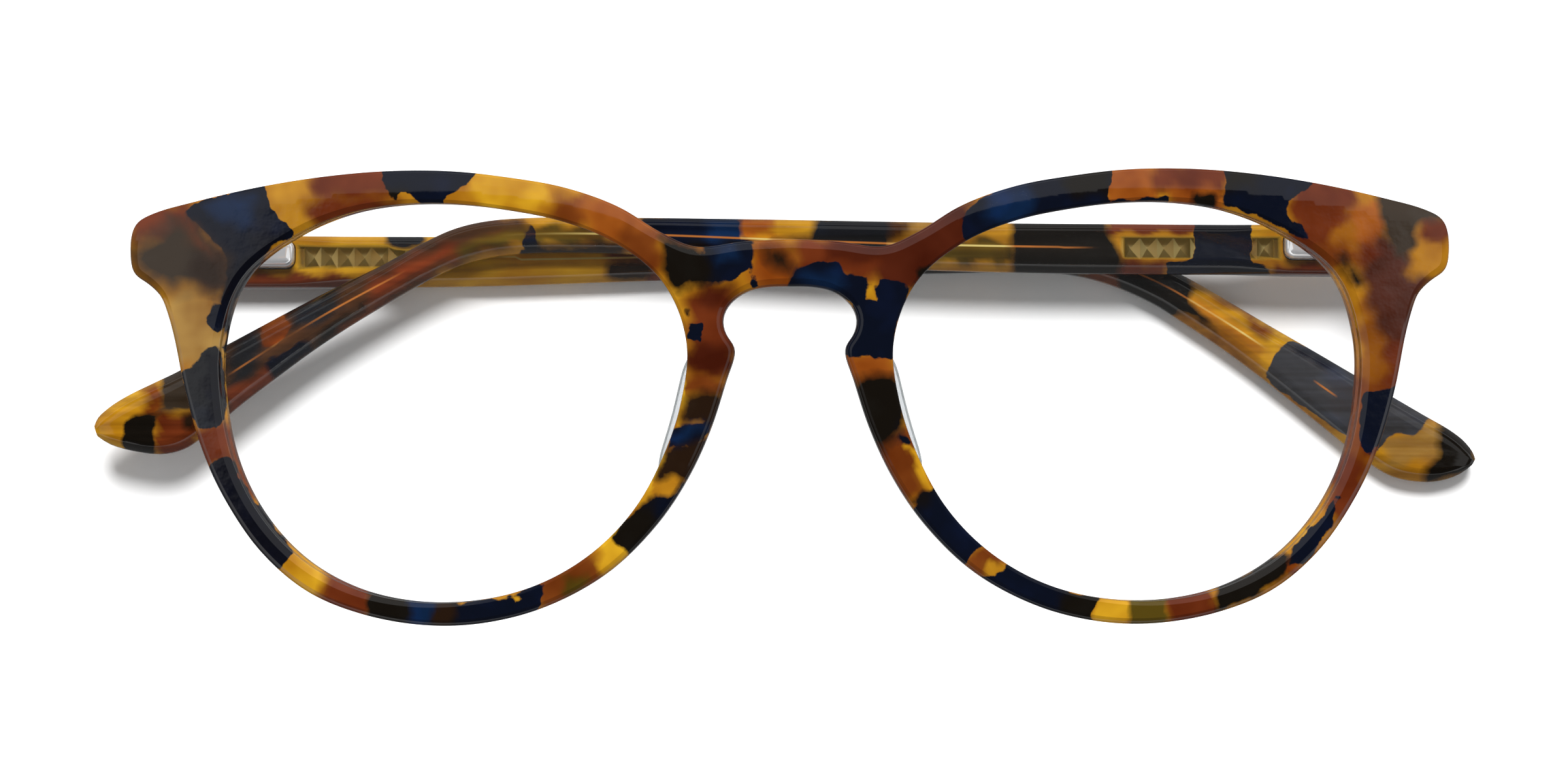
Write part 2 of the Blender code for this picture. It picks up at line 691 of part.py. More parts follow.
def slider(name, mirror, parent):
    """Eye on the hinge screw with a stem that runs into the case."""
    c = (0, 0, AXIS_TO_TEMPLE)
    ob = rod(name, 1, c, BARREL_R, -EYE_HALF, EYE_HALF, 20, STEEL, parent)
    m = sorted((mirror * 0.55, mirror * 1.8))
    neck = box("neck", (m[0], -0.68, 0.18), (m[1], 0.68, 2.45), STEEL, parent)
    combine(ob, neck, "UNION")
    m = sorted((mirror * 1.5, mirror * 8.7))
    stem = rod("stem", 0, (0, 0, STEM_N), STEM_R, m[0], m[1], 12, STEEL, parent, 0.5)
    combine(ob, stem, "UNION")
    hole = rod("eye_hole", 1, c, SCREW_R + RUN, -2, 2, 20, STEEL, parent)
    return combine(ob, hole, "DIFFERENCE")


def coil(name, mirror, parent):
    """Compression spring on the stem, between the case's front wall and the stop."""
    turns, per, wire, r = 5.0, 9, 0.13, 0.665
    s0, s1 = CASE_START + 0.8 + wire + 0.05, 7.62 - wire
    data = bpy.data.curves.new(name, "CURVE")
    data.dimensions = "3D"
    data.bevel_depth = wire * MM
    data.bevel_resolution = 1
    data.use_fill_caps = True
    sp = data.splines.new("POLY")
    count = int(turns * per)
    sp.points.add(count)
    for i in range(count + 1):
        f = i / count
        a = 2 * math.pi * turns * f
        # the first and last turn lie close, as ground ends do
        g = f + 0.035 * math.sin(2 * math.pi * f) * -1
        x = s0 + (s1 - s0) * g
        sp.points[i].co = (
            mirror * x * MM, r * math.cos(a) * MM, (STEM_N + r * math.sin(a)) * MM, 1)
    data.materials.append(STEEL)
    ob = bpy.data.objects.new(name, data)
    bpy.context.scene.collection.objects.link(ob)
    ob.parent = parent
    return ob


def stop(name, mirror, parent):
    m = sorted((mirror * 7.66, mirror * 8.4))
    ob = rod(name, 0, (0, 0, STEM_N), 0.8, m[0], m[1], 16, STEEL, parent)
    hole = rod("stop_hole", 0, (0, 0, STEM_N), STEM_R + 0.04, m[0] - 1, m[1] + 1, 12, STEEL, parent, 0.5)
    return combine(ob, hole, "DIFFERENCE")


# ------------------------------------------------------------------ hinges
LEAF_X = 1.15
LEAF_DEEP = 6.6


def leaf_solid(name, grow, mat, parent, whole=True):
    """The front leaf: an anchor sunk in the end piece; with its two lugs if whole."""
    base = box(name, (-LEAF_X - grow, -LUG_OUT - grow - 0.02, 3.2), (LEAF_X + grow, LUG_OUT + grow + 0.02, LEAF_DEEP + grow), mat, parent)
    if not whole:
        return base
    for sign in (1, -1):
        lo, hi = sorted((sign * LUG_IN, sign * LUG_OUT))
        arm = box("arm", (-0.95, lo, 0.0), (0.95, hi, 3.6), mat, parent)
        combine(base, arm, "UNION")
        barrel = rod("barrel", 1, (0, 0, 0), BARREL_R, lo, hi, 20, mat, parent)
        combine(base, barrel, "UNION")
    hole = rod("screw_hole", 1, (0, 0, 0), SCREW_R + 0.04, -4, 4, 20, mat, parent)
    return combine(base, hole, "DIFFERENCE")


def screw(name, parent):
    rings = []
    for r, y in ((0.42, -2.5), (SCREW_R, -2.3), (SCREW_R, 1.9), (0.92, 1.92), (1.0, 2.1), (0.98, 2.35), (0.72, 2.6)):
        rings.append([(p, y, q) for p, q in circle(r, 20)])
    ob = make(name, *loft(rings), STEEL, parent)
    slot = box("slot", (-2, 2.35, -0.14), (2, 3.0, 0.14), STEEL, parent)
    return combine(ob, slot, "DIFFERENCE")


for word, side, table in (("right", -1, TEMPLE_RIGHT), ("left", 1, TEMPLE_LEFT)):
    o = hinge_point(side)
    fixed = empty("hinge_seat_" + word, frame_matrix(SIDE, AXIS, FORE, o), glasses)
    axis = empty("hinge_axis_" + word, frame_matrix(ALONG, AXIS, UPWARD, o), glasses)
    # the temple's own frame: along it, up, and out of its inner face
    arm = empty("temple_axis_" + word, Matrix.Translation((0, 0, -AXIS_TO_TEMPLE * MM)), axis)
    mirror = -side
    pocket = leaf_solid("pocket_" + word, 0.1, ACETATE, fixed, whole=False)
    combine(front, pocket, "DIFFERENCE")
    leaf_solid("hinge_leaf_" + word, 0.0, CHROME, fixed)
    screw("hinge_screw_" + word, fixed)
    slider("spring_slider_" + word, mirror, arm)
    stop("spring_stop_" + word, mirror, arm)
    sprung_case("spring_housing_" + word, mirror, arm)
    coil("hinge_spring_" + word, mirror, arm)
    core_wire("core_wire_" + word, table, mirror, arm)
    temple("temple_" + word, table, mirror, arm)
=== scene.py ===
"""Looks of the folded tortoiseshell eyeglasses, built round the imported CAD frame."""

import json
import math

import bmesh
import bpy
import numpy as np
from mathutils import Matrix, Vector, geometry


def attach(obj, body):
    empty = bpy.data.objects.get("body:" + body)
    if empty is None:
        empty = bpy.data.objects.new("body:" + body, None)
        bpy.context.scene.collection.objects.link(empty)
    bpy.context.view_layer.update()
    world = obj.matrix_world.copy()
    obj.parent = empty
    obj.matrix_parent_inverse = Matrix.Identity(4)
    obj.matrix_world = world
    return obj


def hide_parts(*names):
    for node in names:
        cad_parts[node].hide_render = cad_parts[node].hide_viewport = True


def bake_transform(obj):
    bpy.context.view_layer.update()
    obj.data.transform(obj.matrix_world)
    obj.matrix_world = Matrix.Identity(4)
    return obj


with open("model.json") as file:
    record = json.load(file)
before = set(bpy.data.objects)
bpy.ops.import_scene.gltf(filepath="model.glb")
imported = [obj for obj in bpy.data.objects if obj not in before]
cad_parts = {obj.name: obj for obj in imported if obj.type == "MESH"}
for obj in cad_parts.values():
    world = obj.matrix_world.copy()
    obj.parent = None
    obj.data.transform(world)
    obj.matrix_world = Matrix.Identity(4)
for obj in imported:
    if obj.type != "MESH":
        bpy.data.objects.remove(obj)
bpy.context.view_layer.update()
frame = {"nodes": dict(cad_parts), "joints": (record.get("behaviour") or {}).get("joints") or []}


MM = 0.001

# ---------------------------------------------------------------- dimensions (mm), as in the CAD
LENS_CENTRE_X = 34.0
FRONT_T = 3.9
FRONT_R = 430.0
TEMPLE_T = 3.5
AXIS_TO_TEMPLE = 1.75
HINGE_X = 62.4
HINGE_BACK = 4.3
BUTT_GAP = 0.3
PANTO = math.radians(6.0)
REST_TILT = math.atan(0.03)
CASE_START, CASE_END, CASE_HALF, CASE_TOP, CASE_BOTTOM = 1.95, 10.5, 1.45, 1.95, -0.75
BAR_Y, PITCH, PYRAMIDS = -0.2, 1.76, 12
GROOVE_DEPTH, GROOVE_HALF = 0.55, 0.6
LENS_T, LENS_BULGE = 1.1, 1.2

FRONT_HALF = [
    (0, 16.7), (4.8, 16.45), (9.65, 15.95), (13.15, 17.4), (17.7, 20.15), (23.2, 22.1),
    (29.0, 23.15), (34.8, 23.8), (41.6, 23.85), (48.3, 23.3), (55.1, 22.25), (61.5, 20.85),
    (65.6, 19.75), (67.5, 18.75), (68.1, 17.3), (68.1, 14.4), (67.75, 13.4), (66.3, 12.4),
    (64.95, 11.1), (64.35, 9.65), (63.6, 6.95), (62.4, 1.05), (60.6, -4.95), (58.35, -9.8),
    (54.6, -15.2), (49.75, -19.3), (43.95, -21.65), (37.4, -22.75), (31.4, -22.5),
    (25.1, -20.85), (18.8, -17.4), (13.85, -12.6), (10.6, -7.85), (8.25, -2.9),
    (6.6, 2.1), (5.65, 5.5), (6.6, 7.0), (6.9, 8.5), (6.2, 10.05), (4.35, 11.35),
    (2.2, 11.8), (0, 11.85),
]
OPENING = [
    24.65, 25.55, 25.85, 24.2, 22.55, 21.15, 20.4, 20.45, 21.45, 23.0, 24.35, 24.2,
    22.8, 21.65, 21.05, 20.6, 20.3, 20.2, 20.4, 21.0, 21.9, 22.8, 23.5, 24.1,
]
TEMPLE_RIGHT = [
    ((-8, 2.05), (-8, -3.35)), ((0, 2.05), (0, -3.33)), ((12, 2.05), (12.4, -3.3)),
    ((28.8, 2.03), (28.8, -3.15)), ((37.5, 2.03), (37.5, -2.88)), ((47.4, 2.05), (47.4, -2.53)),
    ((65, 2.13), (65, -2.05)), ((80, 2.17), (80, -1.67)), ((90.5, 2.05), (88.6, -1.55)),
    ((94.6, 1.55), (93, -1.97)), ((98.8, 0.4), (97.2, -3.17)), ((103.3, -1.55), (101.4, -5.12)),
    ((105.9, -2.9), (103.6, -6.55)), ((109.7, -5.11), (107.3, -9)), ((113.8, -7.55), (111.2, -11.85)),
    ((118, -9.98), (115, -14.85)), ((122.1, -12.41), (118.8, -17.95)), ((126.4, -14.91), (122.8, -21.15)),
    ((129.7, -16.85), (126, -23.2)), ((132.2, -18.3), (129.3, -23.84)), ((133.8, -19.55), (131.5, -23.65)),
    ((134.65, -20.75), (133.4, -22.95)), ((134.85, -21.45), (134.5, -22.1)),
]
TEMPLE_LEFT = [
    ((-8, 2.3), (-8, -2.95)), ((0, 2.3), (0, -2.93)), ((14.7, 2.33), (14.7, -2.84)),
    ((25.8, 2.39), (25.8, -2.78)), ((36.1, 2.44), (36.1, -2.68)), ((50, 2.6), (50, -2.3)),
    ((65, 2.85), (65, -1.55)), ((78, 3), (78, -0.75)), ((89, 3), (88, -0.62)),
    ((94.2, 2.6), (92.4, -0.88)), ((97.6, 1.75), (96.1, -1.7)), ((101, 0.15), (99.3, -3.05)),
    ((105.2, -2.1), (103.2, -5.2)), ((111.1, -4.95), (109.1, -8.85)), ((115, -7.02), (112.6, -11.25)),
    ((118.8, -9.08), (116.1, -13.89)), ((122.6, -11.15), (119.6, -16.6)), ((126.3, -13.2), (123, -19.5)),
    ((129, -14.5), (125.3, -21.15)), ((131.4, -15.7), (127.6, -21.75)), ((133.2, -16.85), (130.6, -21.45)),
    ((134.4, -18), (133.2, -20.7)), ((134.75, -18.9), (134.4, -19.95)),
]

# ---------------------------------------------------------------- placing
AXIS = Vector((0, math.cos(PANTO), -math.sin(PANTO)))
FORE = Vector((0, math.sin(PANTO), math.cos(PANTO)))
ALONG = Vector((1, 0, 0)) * math.cos(REST_TILT) - FORE * math.sin(REST_TILT)
UPWARD = ALONG.cross(AXIS)
joints = {j["name"]: j for j in frame["joints"]}
HINGE = {
    "right": Vector(joints["right_temple_fold"]["pos_m"]) / MM,
    "left": Vector(joints["left_temple_fold"]["pos_m"]) / MM,
}


def front_hinge_point(side):
    x = side * HINGE_X
    t = math.atan(x / FRONT_R)
    z = -x * x / (2 * FRONT_R) - FRONT_T / math.cos(t)
    return Vector((x, 16.4 if side > 0 else 15.85, z - HINGE_BACK))


LEVEL = Matrix((ALONG, AXIS, UPWARD)).to_4x4()
LEVEL.translation = HINGE["right"] - LEVEL @ front_hinge_point(-1)      # in mm
FRONT_TO_WORLD = Matrix.Scale(MM, 4) @ LEVEL

# ---------------------------------------------------------------- camera
FOCAL = 7545.0          # in pixels of a 2400 wide picture
cam = bpy.data.cameras.new("camera")
cam.sensor_width = 36.0
cam.lens = FOCAL / 2400 * 36.0
cam.clip_start = 0.01
camera = bpy.data.objects.new("camera", cam)
bpy.context.scene.collection.objects.link(camera)
pose = LEVEL.copy()
pose.translation = (LEVEL @ Vector((-0.633, 1.067, 503.0))) * MM
camera.matrix_world = pose @ Matrix.Rotation(math.radians(-0.17), 4, "Z")
bpy.context.scene.camera = camera
bpy.context.scene.view_settings.view_transform = "Standard"
EYE = np.array((pose @ Matrix.Rotation(math.radians(-0.17), 4, "Z")).inverted())


def picture(points):
    """Where world points (metres) fall in a 2400 x 1200 view from the camera."""
    p = np.c_[points, np.ones(len(points))] @ EYE.T
    return np.c_[1200 + FOCAL * p[:, 0] / -p[:, 2], 600 - FOCAL * p[:, 1] / -p[:, 2]]


# ---------------------------------------------------------------- curves
def catmull(p0, p1, p2, p3, t):
    def knot(a, b):
        return max(math.dist(a, b), 1e-9) ** 0.5
    t1 = knot(p0, p1)
    t2 = t1 + knot(p1, p2)
    t3 = t2 + knot(p2, p3)
    x = t1 + (t2 - t1) * t

    def mix(a, b, ta, tb):
        w = (x - ta) / (tb - ta)
        return [ai + (bi - ai) * w for ai, bi in zip(a, b)]
    a1, a2, a3 = mix(p0, p1, 0, t1), mix(p1, p2, t1, t2), mix(p2, p3, t2, t3)
    b1 = [ai + (bi - ai) * (x / t2) for ai, bi in zip(a1, a2)]
    b2 = [ai + (bi - ai) * ((x - t1) / (t3 - t1)) for ai, bi in zip(a2, a3)]
    w = (x - t1) / (t2 - t1)
    return [ai + (bi - ai) * w for ai, bi in zip(b1, b2)]


def curve(points, steps):
    n, out = len(points), []
    for i in range(n - 1):
        a, b = points[i], points[i + 1]
        before = points[i - 1] if i else [2 * x - y for x, y in zip(a, b)]
        after = points[i + 2] if i + 2 < n else [2 * y - x for x, y in zip(a, b)]
        for s in range(steps):
            out.append(catmull(before, a, b, after, s / steps))
    out.append(list(points[-1]))
    return out


def even(points, step, closed):
    """The line resampled at equal steps."""
    pts = np.array(points, float)
    if closed:
        pts = np.vstack([pts, pts[:1]])
    seg = np.linalg.norm(np.diff(pts, axis=0), axis=1)
    at = np.r_[0, np.cumsum(seg)]
    n = max(4, int(round(at[-1] / step)))
    want = np.linspace(0, at[-1], n, endpoint=not closed)
    return np.c_[tuple(np.interp(want, at, pts[:, k]) for k in range(pts.shape[1]))]


def smooth_closed(p, times):
    for _ in range(times):
        p = 0.5 * p + 0.25 * (np.roll(p, 1, 0) + np.roll(p, -1, 0))
    return p


def inset(loop, d):
    """A counter-clockwise closed line moved inwards by d."""
    a, c = np.roll(loop, 1, 0), np.roll(loop, -1, 0)
    e = (loop - a) / np.linalg.norm(loop - a, axis=1)[:, None]
    f = (c - loop) / np.linalg.norm(c - loop, axis=1)[:, None]
    m = np.c_[-e[:, 1] - f[:, 1], e[:, 0] + f[:, 0]]
    m /= np.linalg.norm(m, axis=1)[:, None]
    k = np.maximum(0.6, (m * np.c_[-e[:, 1], e[:, 0]]).sum(1))
    return loop + m * (d / k)[:, None]


def sheet(uv, w):
    """Points w behind the wrapped front face; uv is an array, w a number or an array."""
    t = np.arctan(uv[:, 0] / FRONT_R)
    return np.c_[uv[:, 0] - w * np.sin(t), uv[:, 1], -uv[:, 0] ** 2 / (2 * FRONT_R) - w * np.cos(t)]


def opening(side, count, grow=0.0):
    r = np.array(OPENING)
    a = 24.0 * np.arange(count) / count
    k = a.astype(int) % 24
    t = a - a.astype(int)
    p = [r[(k + j - 1) % 24] for j in range(4)]
    rad = p[1] + 0.5 * t * (p[2] - p[0] + t * (2 * p[0] - 5 * p[1] + 4 * p[2] - p[3] + t * (3 * (p[1] - p[2]) + p[3] - p[0]))) + grow
    ang = np.radians(15.0 * a)
    out = np.c_[side * LENS_CENTRE_X + side * rad * np.cos(ang), rad * np.sin(ang)]
    return out[::-1].copy() if side < 0 else out


def inside(pts, loop):
    x, y = pts[:, 0], pts[:, 1]
    odd = np.zeros(len(pts), bool)
    for (ax, ay), (bx, by) in zip(np.roll(loop, 1, 0), loop):
        if ay == by:
            continue
        odd ^= ((ay > y) != (by > y)) & (x < (bx - ax) * (y - ay) / (by - ay) + ax)
    return odd


def distance(pts, loop):
    """Signed distance to a closed line, negative inside."""
    loop = np.array(loop, float)
    best = np.full(len(pts), 1e9)
    for a, b in zip(np.roll(loop, 1, 0), loop):
        d = b - a
        t = np.clip(((pts - a) @ d) / max(d @ d, 1e-12), 0, 1)
        best = np.minimum(best, np.linalg.norm(pts - a - t[:, None] * d, axis=1))
    return np.where(inside(pts, loop), -best, best)


def build(name, verts, faces, angle=25.0):
    """An object from world points in metres."""
    mesh = bpy.data.meshes.new(name)
    mesh.from_pydata([tuple(map(float, v)) for v in verts], [], faces)
    bm = bmesh.new()
    bm.from_mesh(mesh)
    bmesh.ops.recalc_face_normals(bm, faces=bm.faces)
    bm.to_mesh(mesh)
    bm.free()
    ob = bpy.data.objects.new(name, mesh)
    bpy.context.scene.collection.objects.link(ob)
    mesh.shade_smooth()
    mesh.set_sharp_from_angle(angle=math.radians(angle))
    return ob


def cut(target, *others, angle=25.0):
    for other in others:
        m = target.modifiers.new("cut", "BOOLEAN")
        m.operation = "DIFFERENCE"
        m.solver = "EXACT"
        m.object = other
    bpy.context.view_layer.update()
    graph = bpy.context.evaluated_depsgraph_get()
    mesh = bpy.data.meshes.new_from_object(target.evaluated_get(graph), depsgraph=graph)
    target.modifiers.clear()
    target.data = mesh
    mesh.shade_smooth()
    mesh.set_sharp_from_angle(angle=math.radians(angle))
    for other in others:
        bpy.data.objects.remove(other, do_unlink=True)
    return target


def loft(rings, closed_ends=True):
    n = len(rings[0])
    verts = np.vstack(rings)
    faces = []
    for k in range(len(rings) - 1):
        for i in range(n):
            j = (i + 1) % n
            faces.append((k * n + i, k * n + j, (k + 1) * n + j, (k + 1) * n + i))
    if closed_ends:
        faces.append(tuple(range(n))[::-1])
        faces.append(tuple(range((len(rings) - 1) * n, len(rings) * n)))
    return verts, faces


def to_world(points):
    m = np.array(FRONT_TO_WORLD)
    return np.c_[points, np.ones(len(points))] @ m.T[:, :3]


# ---------------------------------------------------------------- front
half = [tuple(p) for p in curve(FRONT_HALF, 14)]
full = half + [(-x, y) for x, y in reversed(half[1:-1])]
full.reverse()
OUTLINE = smooth_closed(even(full, 0.42, True), 2)
MID = FRONT_T / 2


def smooth(x, lo, hi):
    t = np.clip((x - lo) / (hi - lo), 0, 1)
    return t * t * (3 - 2 * t)


def outer_profile():
    """(inset, depth) rings of the outer edge: a wide shallow facet over the brow, a narrow one elsewhere."""
    u, v = np.abs(OUTLINE[:, 0]), OUTLINE[:, 1]
    w = 0.6 + 0.3 * smooth(v, 8, 14) + 0.75 * smooth(v, 17, 20.5) * smooth(u, 14, 24) * (1 - 0.35 * smooth(u, 52, 62))
    drop = 0.12 + 0.16 * w
    for f in range(4):
        w = (w + np.roll(w, 3) + np.roll(w, -3)) / 3
    edge = 0.24
    out = [(w, 0 * w), ((w + edge) / 2, drop / 2), (0 * w + edge, drop)]
    for d, k in ((0.12, 0.12), (0.04, 0.26), (0.0, 0.44)):
        out.append((0 * w + d, drop + k))
    for d, k in ((0.0, 1.5), (0.0, 2.1), (0.0, 2.8), (0.0, FRONT_T - 0.5), (0.06, FRONT_T - 0.25), (0.18, FRONT_T - 0.1), (0.4, FRONT_T)):
        out.append((0 * w + d, 0 * w + k))
    return out


def rim_profile(count):
    """(growth, depth) rings of a lens opening, whose front facet is widest at the temple side."""
    a = 2 * np.pi * np.arange(count) / count
    w = 0.34 + 0.42 * smooth(np.cos(a), -0.2, 0.9)
    drop = 0.5 * w
    out = [(w, 0 * w), ((w + 0.08) / 2, drop / 2), (0 * w + 0.08, drop), (0 * w + 0.02, drop + 0.1), (0 * w, drop + 0.24)]
    for d, k in (
        (0.0, MID - GROOVE_HALF), (GROOVE_DEPTH, MID), (0.0, MID + GROOVE_HALF), (0.0, FRONT_T - 0.75),
        (0.0, FRONT_T - 0.42), (0.05, FRONT_T - 0.22), (0.14, FRONT_T - 0.08), (0.3, FRONT_T),
    ):
        out.append((0 * w + d, 0 * w + k))
    return out


def front_piece():
    verts, faces, loops, flat, total = [], [], {}, {}, 0

    def ring(key, loop, w):
        nonlocal total
        flat[key] = loop
        loops[key] = np.arange(total, total + len(loop))
        verts.append(sheet(loop, w))
        total += len(loop)

    def band(a, b):
        a, b = loops[a], loops[b]
        n = len(a)
        for i in range(n):
            j = (i + 1) % n
            faces.append((int(a[i]), int(a[j]), int(b[j]), int(b[i])))
    outer_rings, rim_rings = outer_profile(), rim_profile(300)
    for k, (d, w) in enumerate(outer_rings):
        ring(("o", k), inset(OUTLINE, d), w)
    for k in range(len(outer_rings) - 1):
        band(("o", k), ("o", k + 1))
    for side in (-1, 1):
        for k, (d, w) in enumerate(rim_rings):
            ring((side, k), opening(side, 300, d), w if side > 0 else w[::-1])
        for k in range(len(rim_rings) - 1):
            band((side, k), (side, k + 1))
    for ko, kh, w in ((0, 0, 0.0), (len(outer_rings) - 1, len(rim_rings) - 1, FRONT_T)):
        outer, h1, h2 = flat[("o", ko)], flat[(-1, kh)], flat[(1, kh)]
        xs = np.arange(-68, 68, 0.5)
        ys = np.arange(-24, 25, 0.5)
        g = np.array([(x + (0.25 if r % 2 else 0), y) for r, y in enumerate(ys) for x in xs])
        near = (distance(g, outer) < -0.3) & (distance(g, h1) > 0.3) & (distance(g, h2) > 0.3)
        g = g[near]
        border = np.vstack([outer, h1, h2])
        edges, n = [], 0
        for lp in (outer, h1, h2):
            edges += [(n + i, n + (i + 1) % len(lp)) for i in range(len(lp))]
            n += len(lp)
        got = geometry.delaunay_2d_cdt([Vector(p) for p in np.vstack([border, g])], edges, [], 0, 1e-6)
        back = {i: o[0] for i, o in enumerate(got[3]) if o}
        index = np.r_[loops[("o", ko)], loops[(-1, kh)], loops[(1, kh)], np.arange(total, total + len(g))]
        pts = np.array([tuple(p) for p in got[0]])
        tris = np.array([tuple(t) for t in got[2]])
        c = pts[tris].mean(1)
        ok = inside(c, outer) & ~inside(c, h1) & ~inside(c, h2)
        for t in tris[ok]:
            faces.append(tuple(int(index[back[int(i)]]) for i in t))
        verts.append(sheet(g, w))
        total += len(g)
    return build("front_shell", to_world(np.vstack(verts)), faces, 19.0)


# ---------------------------------------------------------------- temples
def temple_place(word, s, h, n):
    """World metres of points along, up and out of the temple's inner face."""
    m = 1 if word == "right" else -1
    o = HINGE[word]
    return np.c_[(o.x + m * np.asarray(s)), (o.y + np.asarray(h)), (o.z - AXIS_TO_TEMPLE + np.asarray(n))] * MM


def rows_of(table):
    up = curve([s[0] for s in table], 12)
    lo = curve([s[1] for s in table], 12)
    both = even([a + b for a, b in zip(up, lo)], 0.9, False)
    return both[:, :2], both[:, 2:]


def temple_piece(word):
    up, lo = rows_of(TEMPLE_RIGHT if word == "right" else TEMPLE_LEFT)
    rings = []
    ups, los = list(up), list(lo)
    for up_p, lo_p in zip(ups, los):
        mid, hv = (up_p + lo_p) / 2, (up_p - lo_p) / 2
        half_w = np.linalg.norm(hv)
        d = hv / half_w
        s = mid[0]
        fit = min(1.0, half_w / 2.1)
        grow = min(max((s - 10) / 6, 0), 1)
        paddle = min(max((s - 98) / 12, 0), 1)
        top = (0.45 + 0.4 * grow + 0.6 * paddle) * fit
        low = (0.45 + 0.9 * grow) * fit
        end = min(1.0, 0.45 + 0.55 * half_w / 2.0)
        t = TEMPLE_T / 2 * end

        def facet(w, sign_a, sign_b):
            cuts = [(w, 0.0), (0.95 * w, 0.012 * w), (0.62 * w, 0.2 * w), (0.54 * w, 0.27 * w), (0.04 * w, 0.95 * w), (0.0, 1.07 * w)]
            return [(sign_a * (half_w - a), sign_b * (t - b)) for a, b in cuts]
        face = np.linspace(-(half_w - low), half_w - top, 13)[1:-1]
        back = np.linspace(half_w - low, -(half_w - low), 9)[1:-1]
        prof = [(a, t) for a in face] + facet(top, 1, 1) + facet(low, 1, -1)[::-1] + [(a, -t) for a in back]
        prof += facet(low, -1, -1) + facet(low, -1, 1)[::-1]
        prof = np.array(prof)
        q = mid + prof[:, :1] * d
        rings.append(temple_place(word, q[:, 0], q[:, 1], prof[:, 1] - TEMPLE_T / 2))
    ob = build("temple_shell_" + word, *loft(rings), angle=19.0)
    # the butt and the seat of the sprung case
    def butt(n):
        x = HINGE_X + n
        back = -x * x / (2 * FRONT_R) - FRONT_T / math.cos(x / FRONT_R)
        return -((back - front_hinge_point(1).z) / math.cos(PANTO) - BUTT_GAP)
    s1, s2 = butt(AXIS_TO_TEMPLE), butt(AXIS_TO_TEMPLE + TEMPLE_T)
    slope = (s1 - s2) / TEMPLE_T
    v = []
    for y in (-8.0, 8.0):
        for n in (3.0, -8.0):
            v += [(s1 + slope * n - y * math.tan(PANTO), y, n), (-20.0, y, n)]
    v = np.array(v)
    f = [(0, 1, 3, 2), (4, 6, 7, 5), (0, 4, 5, 1), (2, 3, 7, 6), (0, 2, 6, 4), (1, 5, 7, 3)]
    wedge = build("butt_cut", temple_place(word, v[:, 0], v[:, 1], v[:, 2]), f)
    ring = case_outline(-0.1)
    seat_rings = [temple_place(word, ring[:, 0], ring[:, 1], np.full(len(ring), n)) for n in (CASE_BOTTOM - 0.1, 3.0)]
    seat = build("seat", *loft(seat_rings))
    return cut(ob, wedge, seat, angle=19.0)


def case_outline(d):
    """Outline of the sprung case, d inside its sides."""
    pts = []
    for sx, sy, r, a0 in ((1, 1, 0.95, 0), (-1, 1, 0.25, 90), (-1, -1, 0.25, 180), (1, -1, 0.95, 270)):
        n = 10 if r > 0.5 else 4
        cx = (CASE_END - r) if sx > 0 else (CASE_START + r)
        cy = sy * (CASE_HALF - r)
        rr = r - d
        if rr < 0.08:
            cx -= sx * (0.08 - rr)
            cy -= sy * (0.08 - rr)
            rr = 0.08
        for k in range(n + 1):
            a = math.radians(a0 + 90.0 * k / n)
            pts.append((cx + rr * math.cos(a), cy + rr * math.sin(a)))
    return np.array(pts)


def case_piece(word):
    rings = []
    layers = [(CASE_BOTTOM, 0.06), (CASE_BOTTOM + 0.06, 0.0), (0.3, 0.0), (0.95, 0.0)]
    for a in range(8, 91, 8):
        t = math.radians(a)
        layers.append((0.95 + 0.95 * math.sin(t), 0.95 * (1 - math.cos(t))))
    for n, d in layers:
        p = case_outline(d)
        rings.append(temple_place(word, p[:, 0], p[:, 1], np.full(len(p), n)))
    return build("case_" + word, *loft(rings), angle=40.0)


def core_marks(ob, word):
    """How far each point lies across the temple from its core wire, where the core shows, and the window on the bar."""
    mesh = ob.data
    co = np.empty(len(mesh.vertices) * 3)
    mesh.vertices.foreach_get("co", co)
    co = co.reshape(-1, 3) / MM
    m = 1 if word == "right" else -1
    o = HINGE[word]
    s, h = (co[:, 0] - o.x) * m, co[:, 1] - o.y
    n = co[:, 2] - (o.z - AXIS_TO_TEMPLE)
    up, lo = rows_of(TEMPLE_RIGHT if word == "right" else TEMPLE_LEFT)
    mid = (up + lo) / 2
    mid[:, 1] = np.where(mid[:, 0] < 34, BAR_Y, mid[:, 1])
    d = np.gradient(mid, axis=0)
    d /= np.linalg.norm(d, axis=1)[:, None]
    q = np.c_[s, h]
    near = np.array([np.argmin(((mid - a) ** 2).sum(1)) for a in q])
    off = q - mid[near]
    across = d[near, 0] * off[:, 1] - d[near, 1] * off[:, 0]
    face = smooth(n, -0.7, -0.4)
    if word == "right":
        run = smooth(s, 30, 34) * (1 - smooth(s, 110, 113)) + smooth(s, 117.8, 118.4) * (1 - smooth(s, 119.4, 120.2))
    else:
        run = smooth(s, 30, 34) * (1 - smooth(s, 119, 121))
    end = CASE_END + 0.55
    last = 22.6 if word == "right" else 27.4
    store(mesh, "across", across)
    store(mesh, "line", face * run)
    store(mesh, "window", face * smooth(s, end - 0.25, end) * (1 - smooth(s, last, last + 0.4)) * (1 - smooth(np.abs(across), 1.0, 1.3)))


# ---------------------------------------------------------------- lenses and pads
def lens_piece(word, side):
    n, rings = 200, []
    edge, tip = opening(side, n, -0.1), opening(side, n, GROOVE_DEPTH - 0.12)
    c = np.array((side * LENS_CENTRE_X, 0.0))
    fr = (0.04, 0.15, 0.3, 0.45, 0.6, 0.75, 0.88, 1.0)

    def level(f, w0):
        return to_world(sheet(c + (edge - c) * f, w0 - LENS_BULGE * (1 - f * f)))
    for f in fr:
        rings.append(level(f, MID - LENS_T / 2))
    rings.append(to_world(sheet(tip, MID)))
    for f in fr[::-1]:
        rings.append(level(f, MID + LENS_T / 2))
    return build("demo_lens_" + word, *loft(rings), angle=35.0)


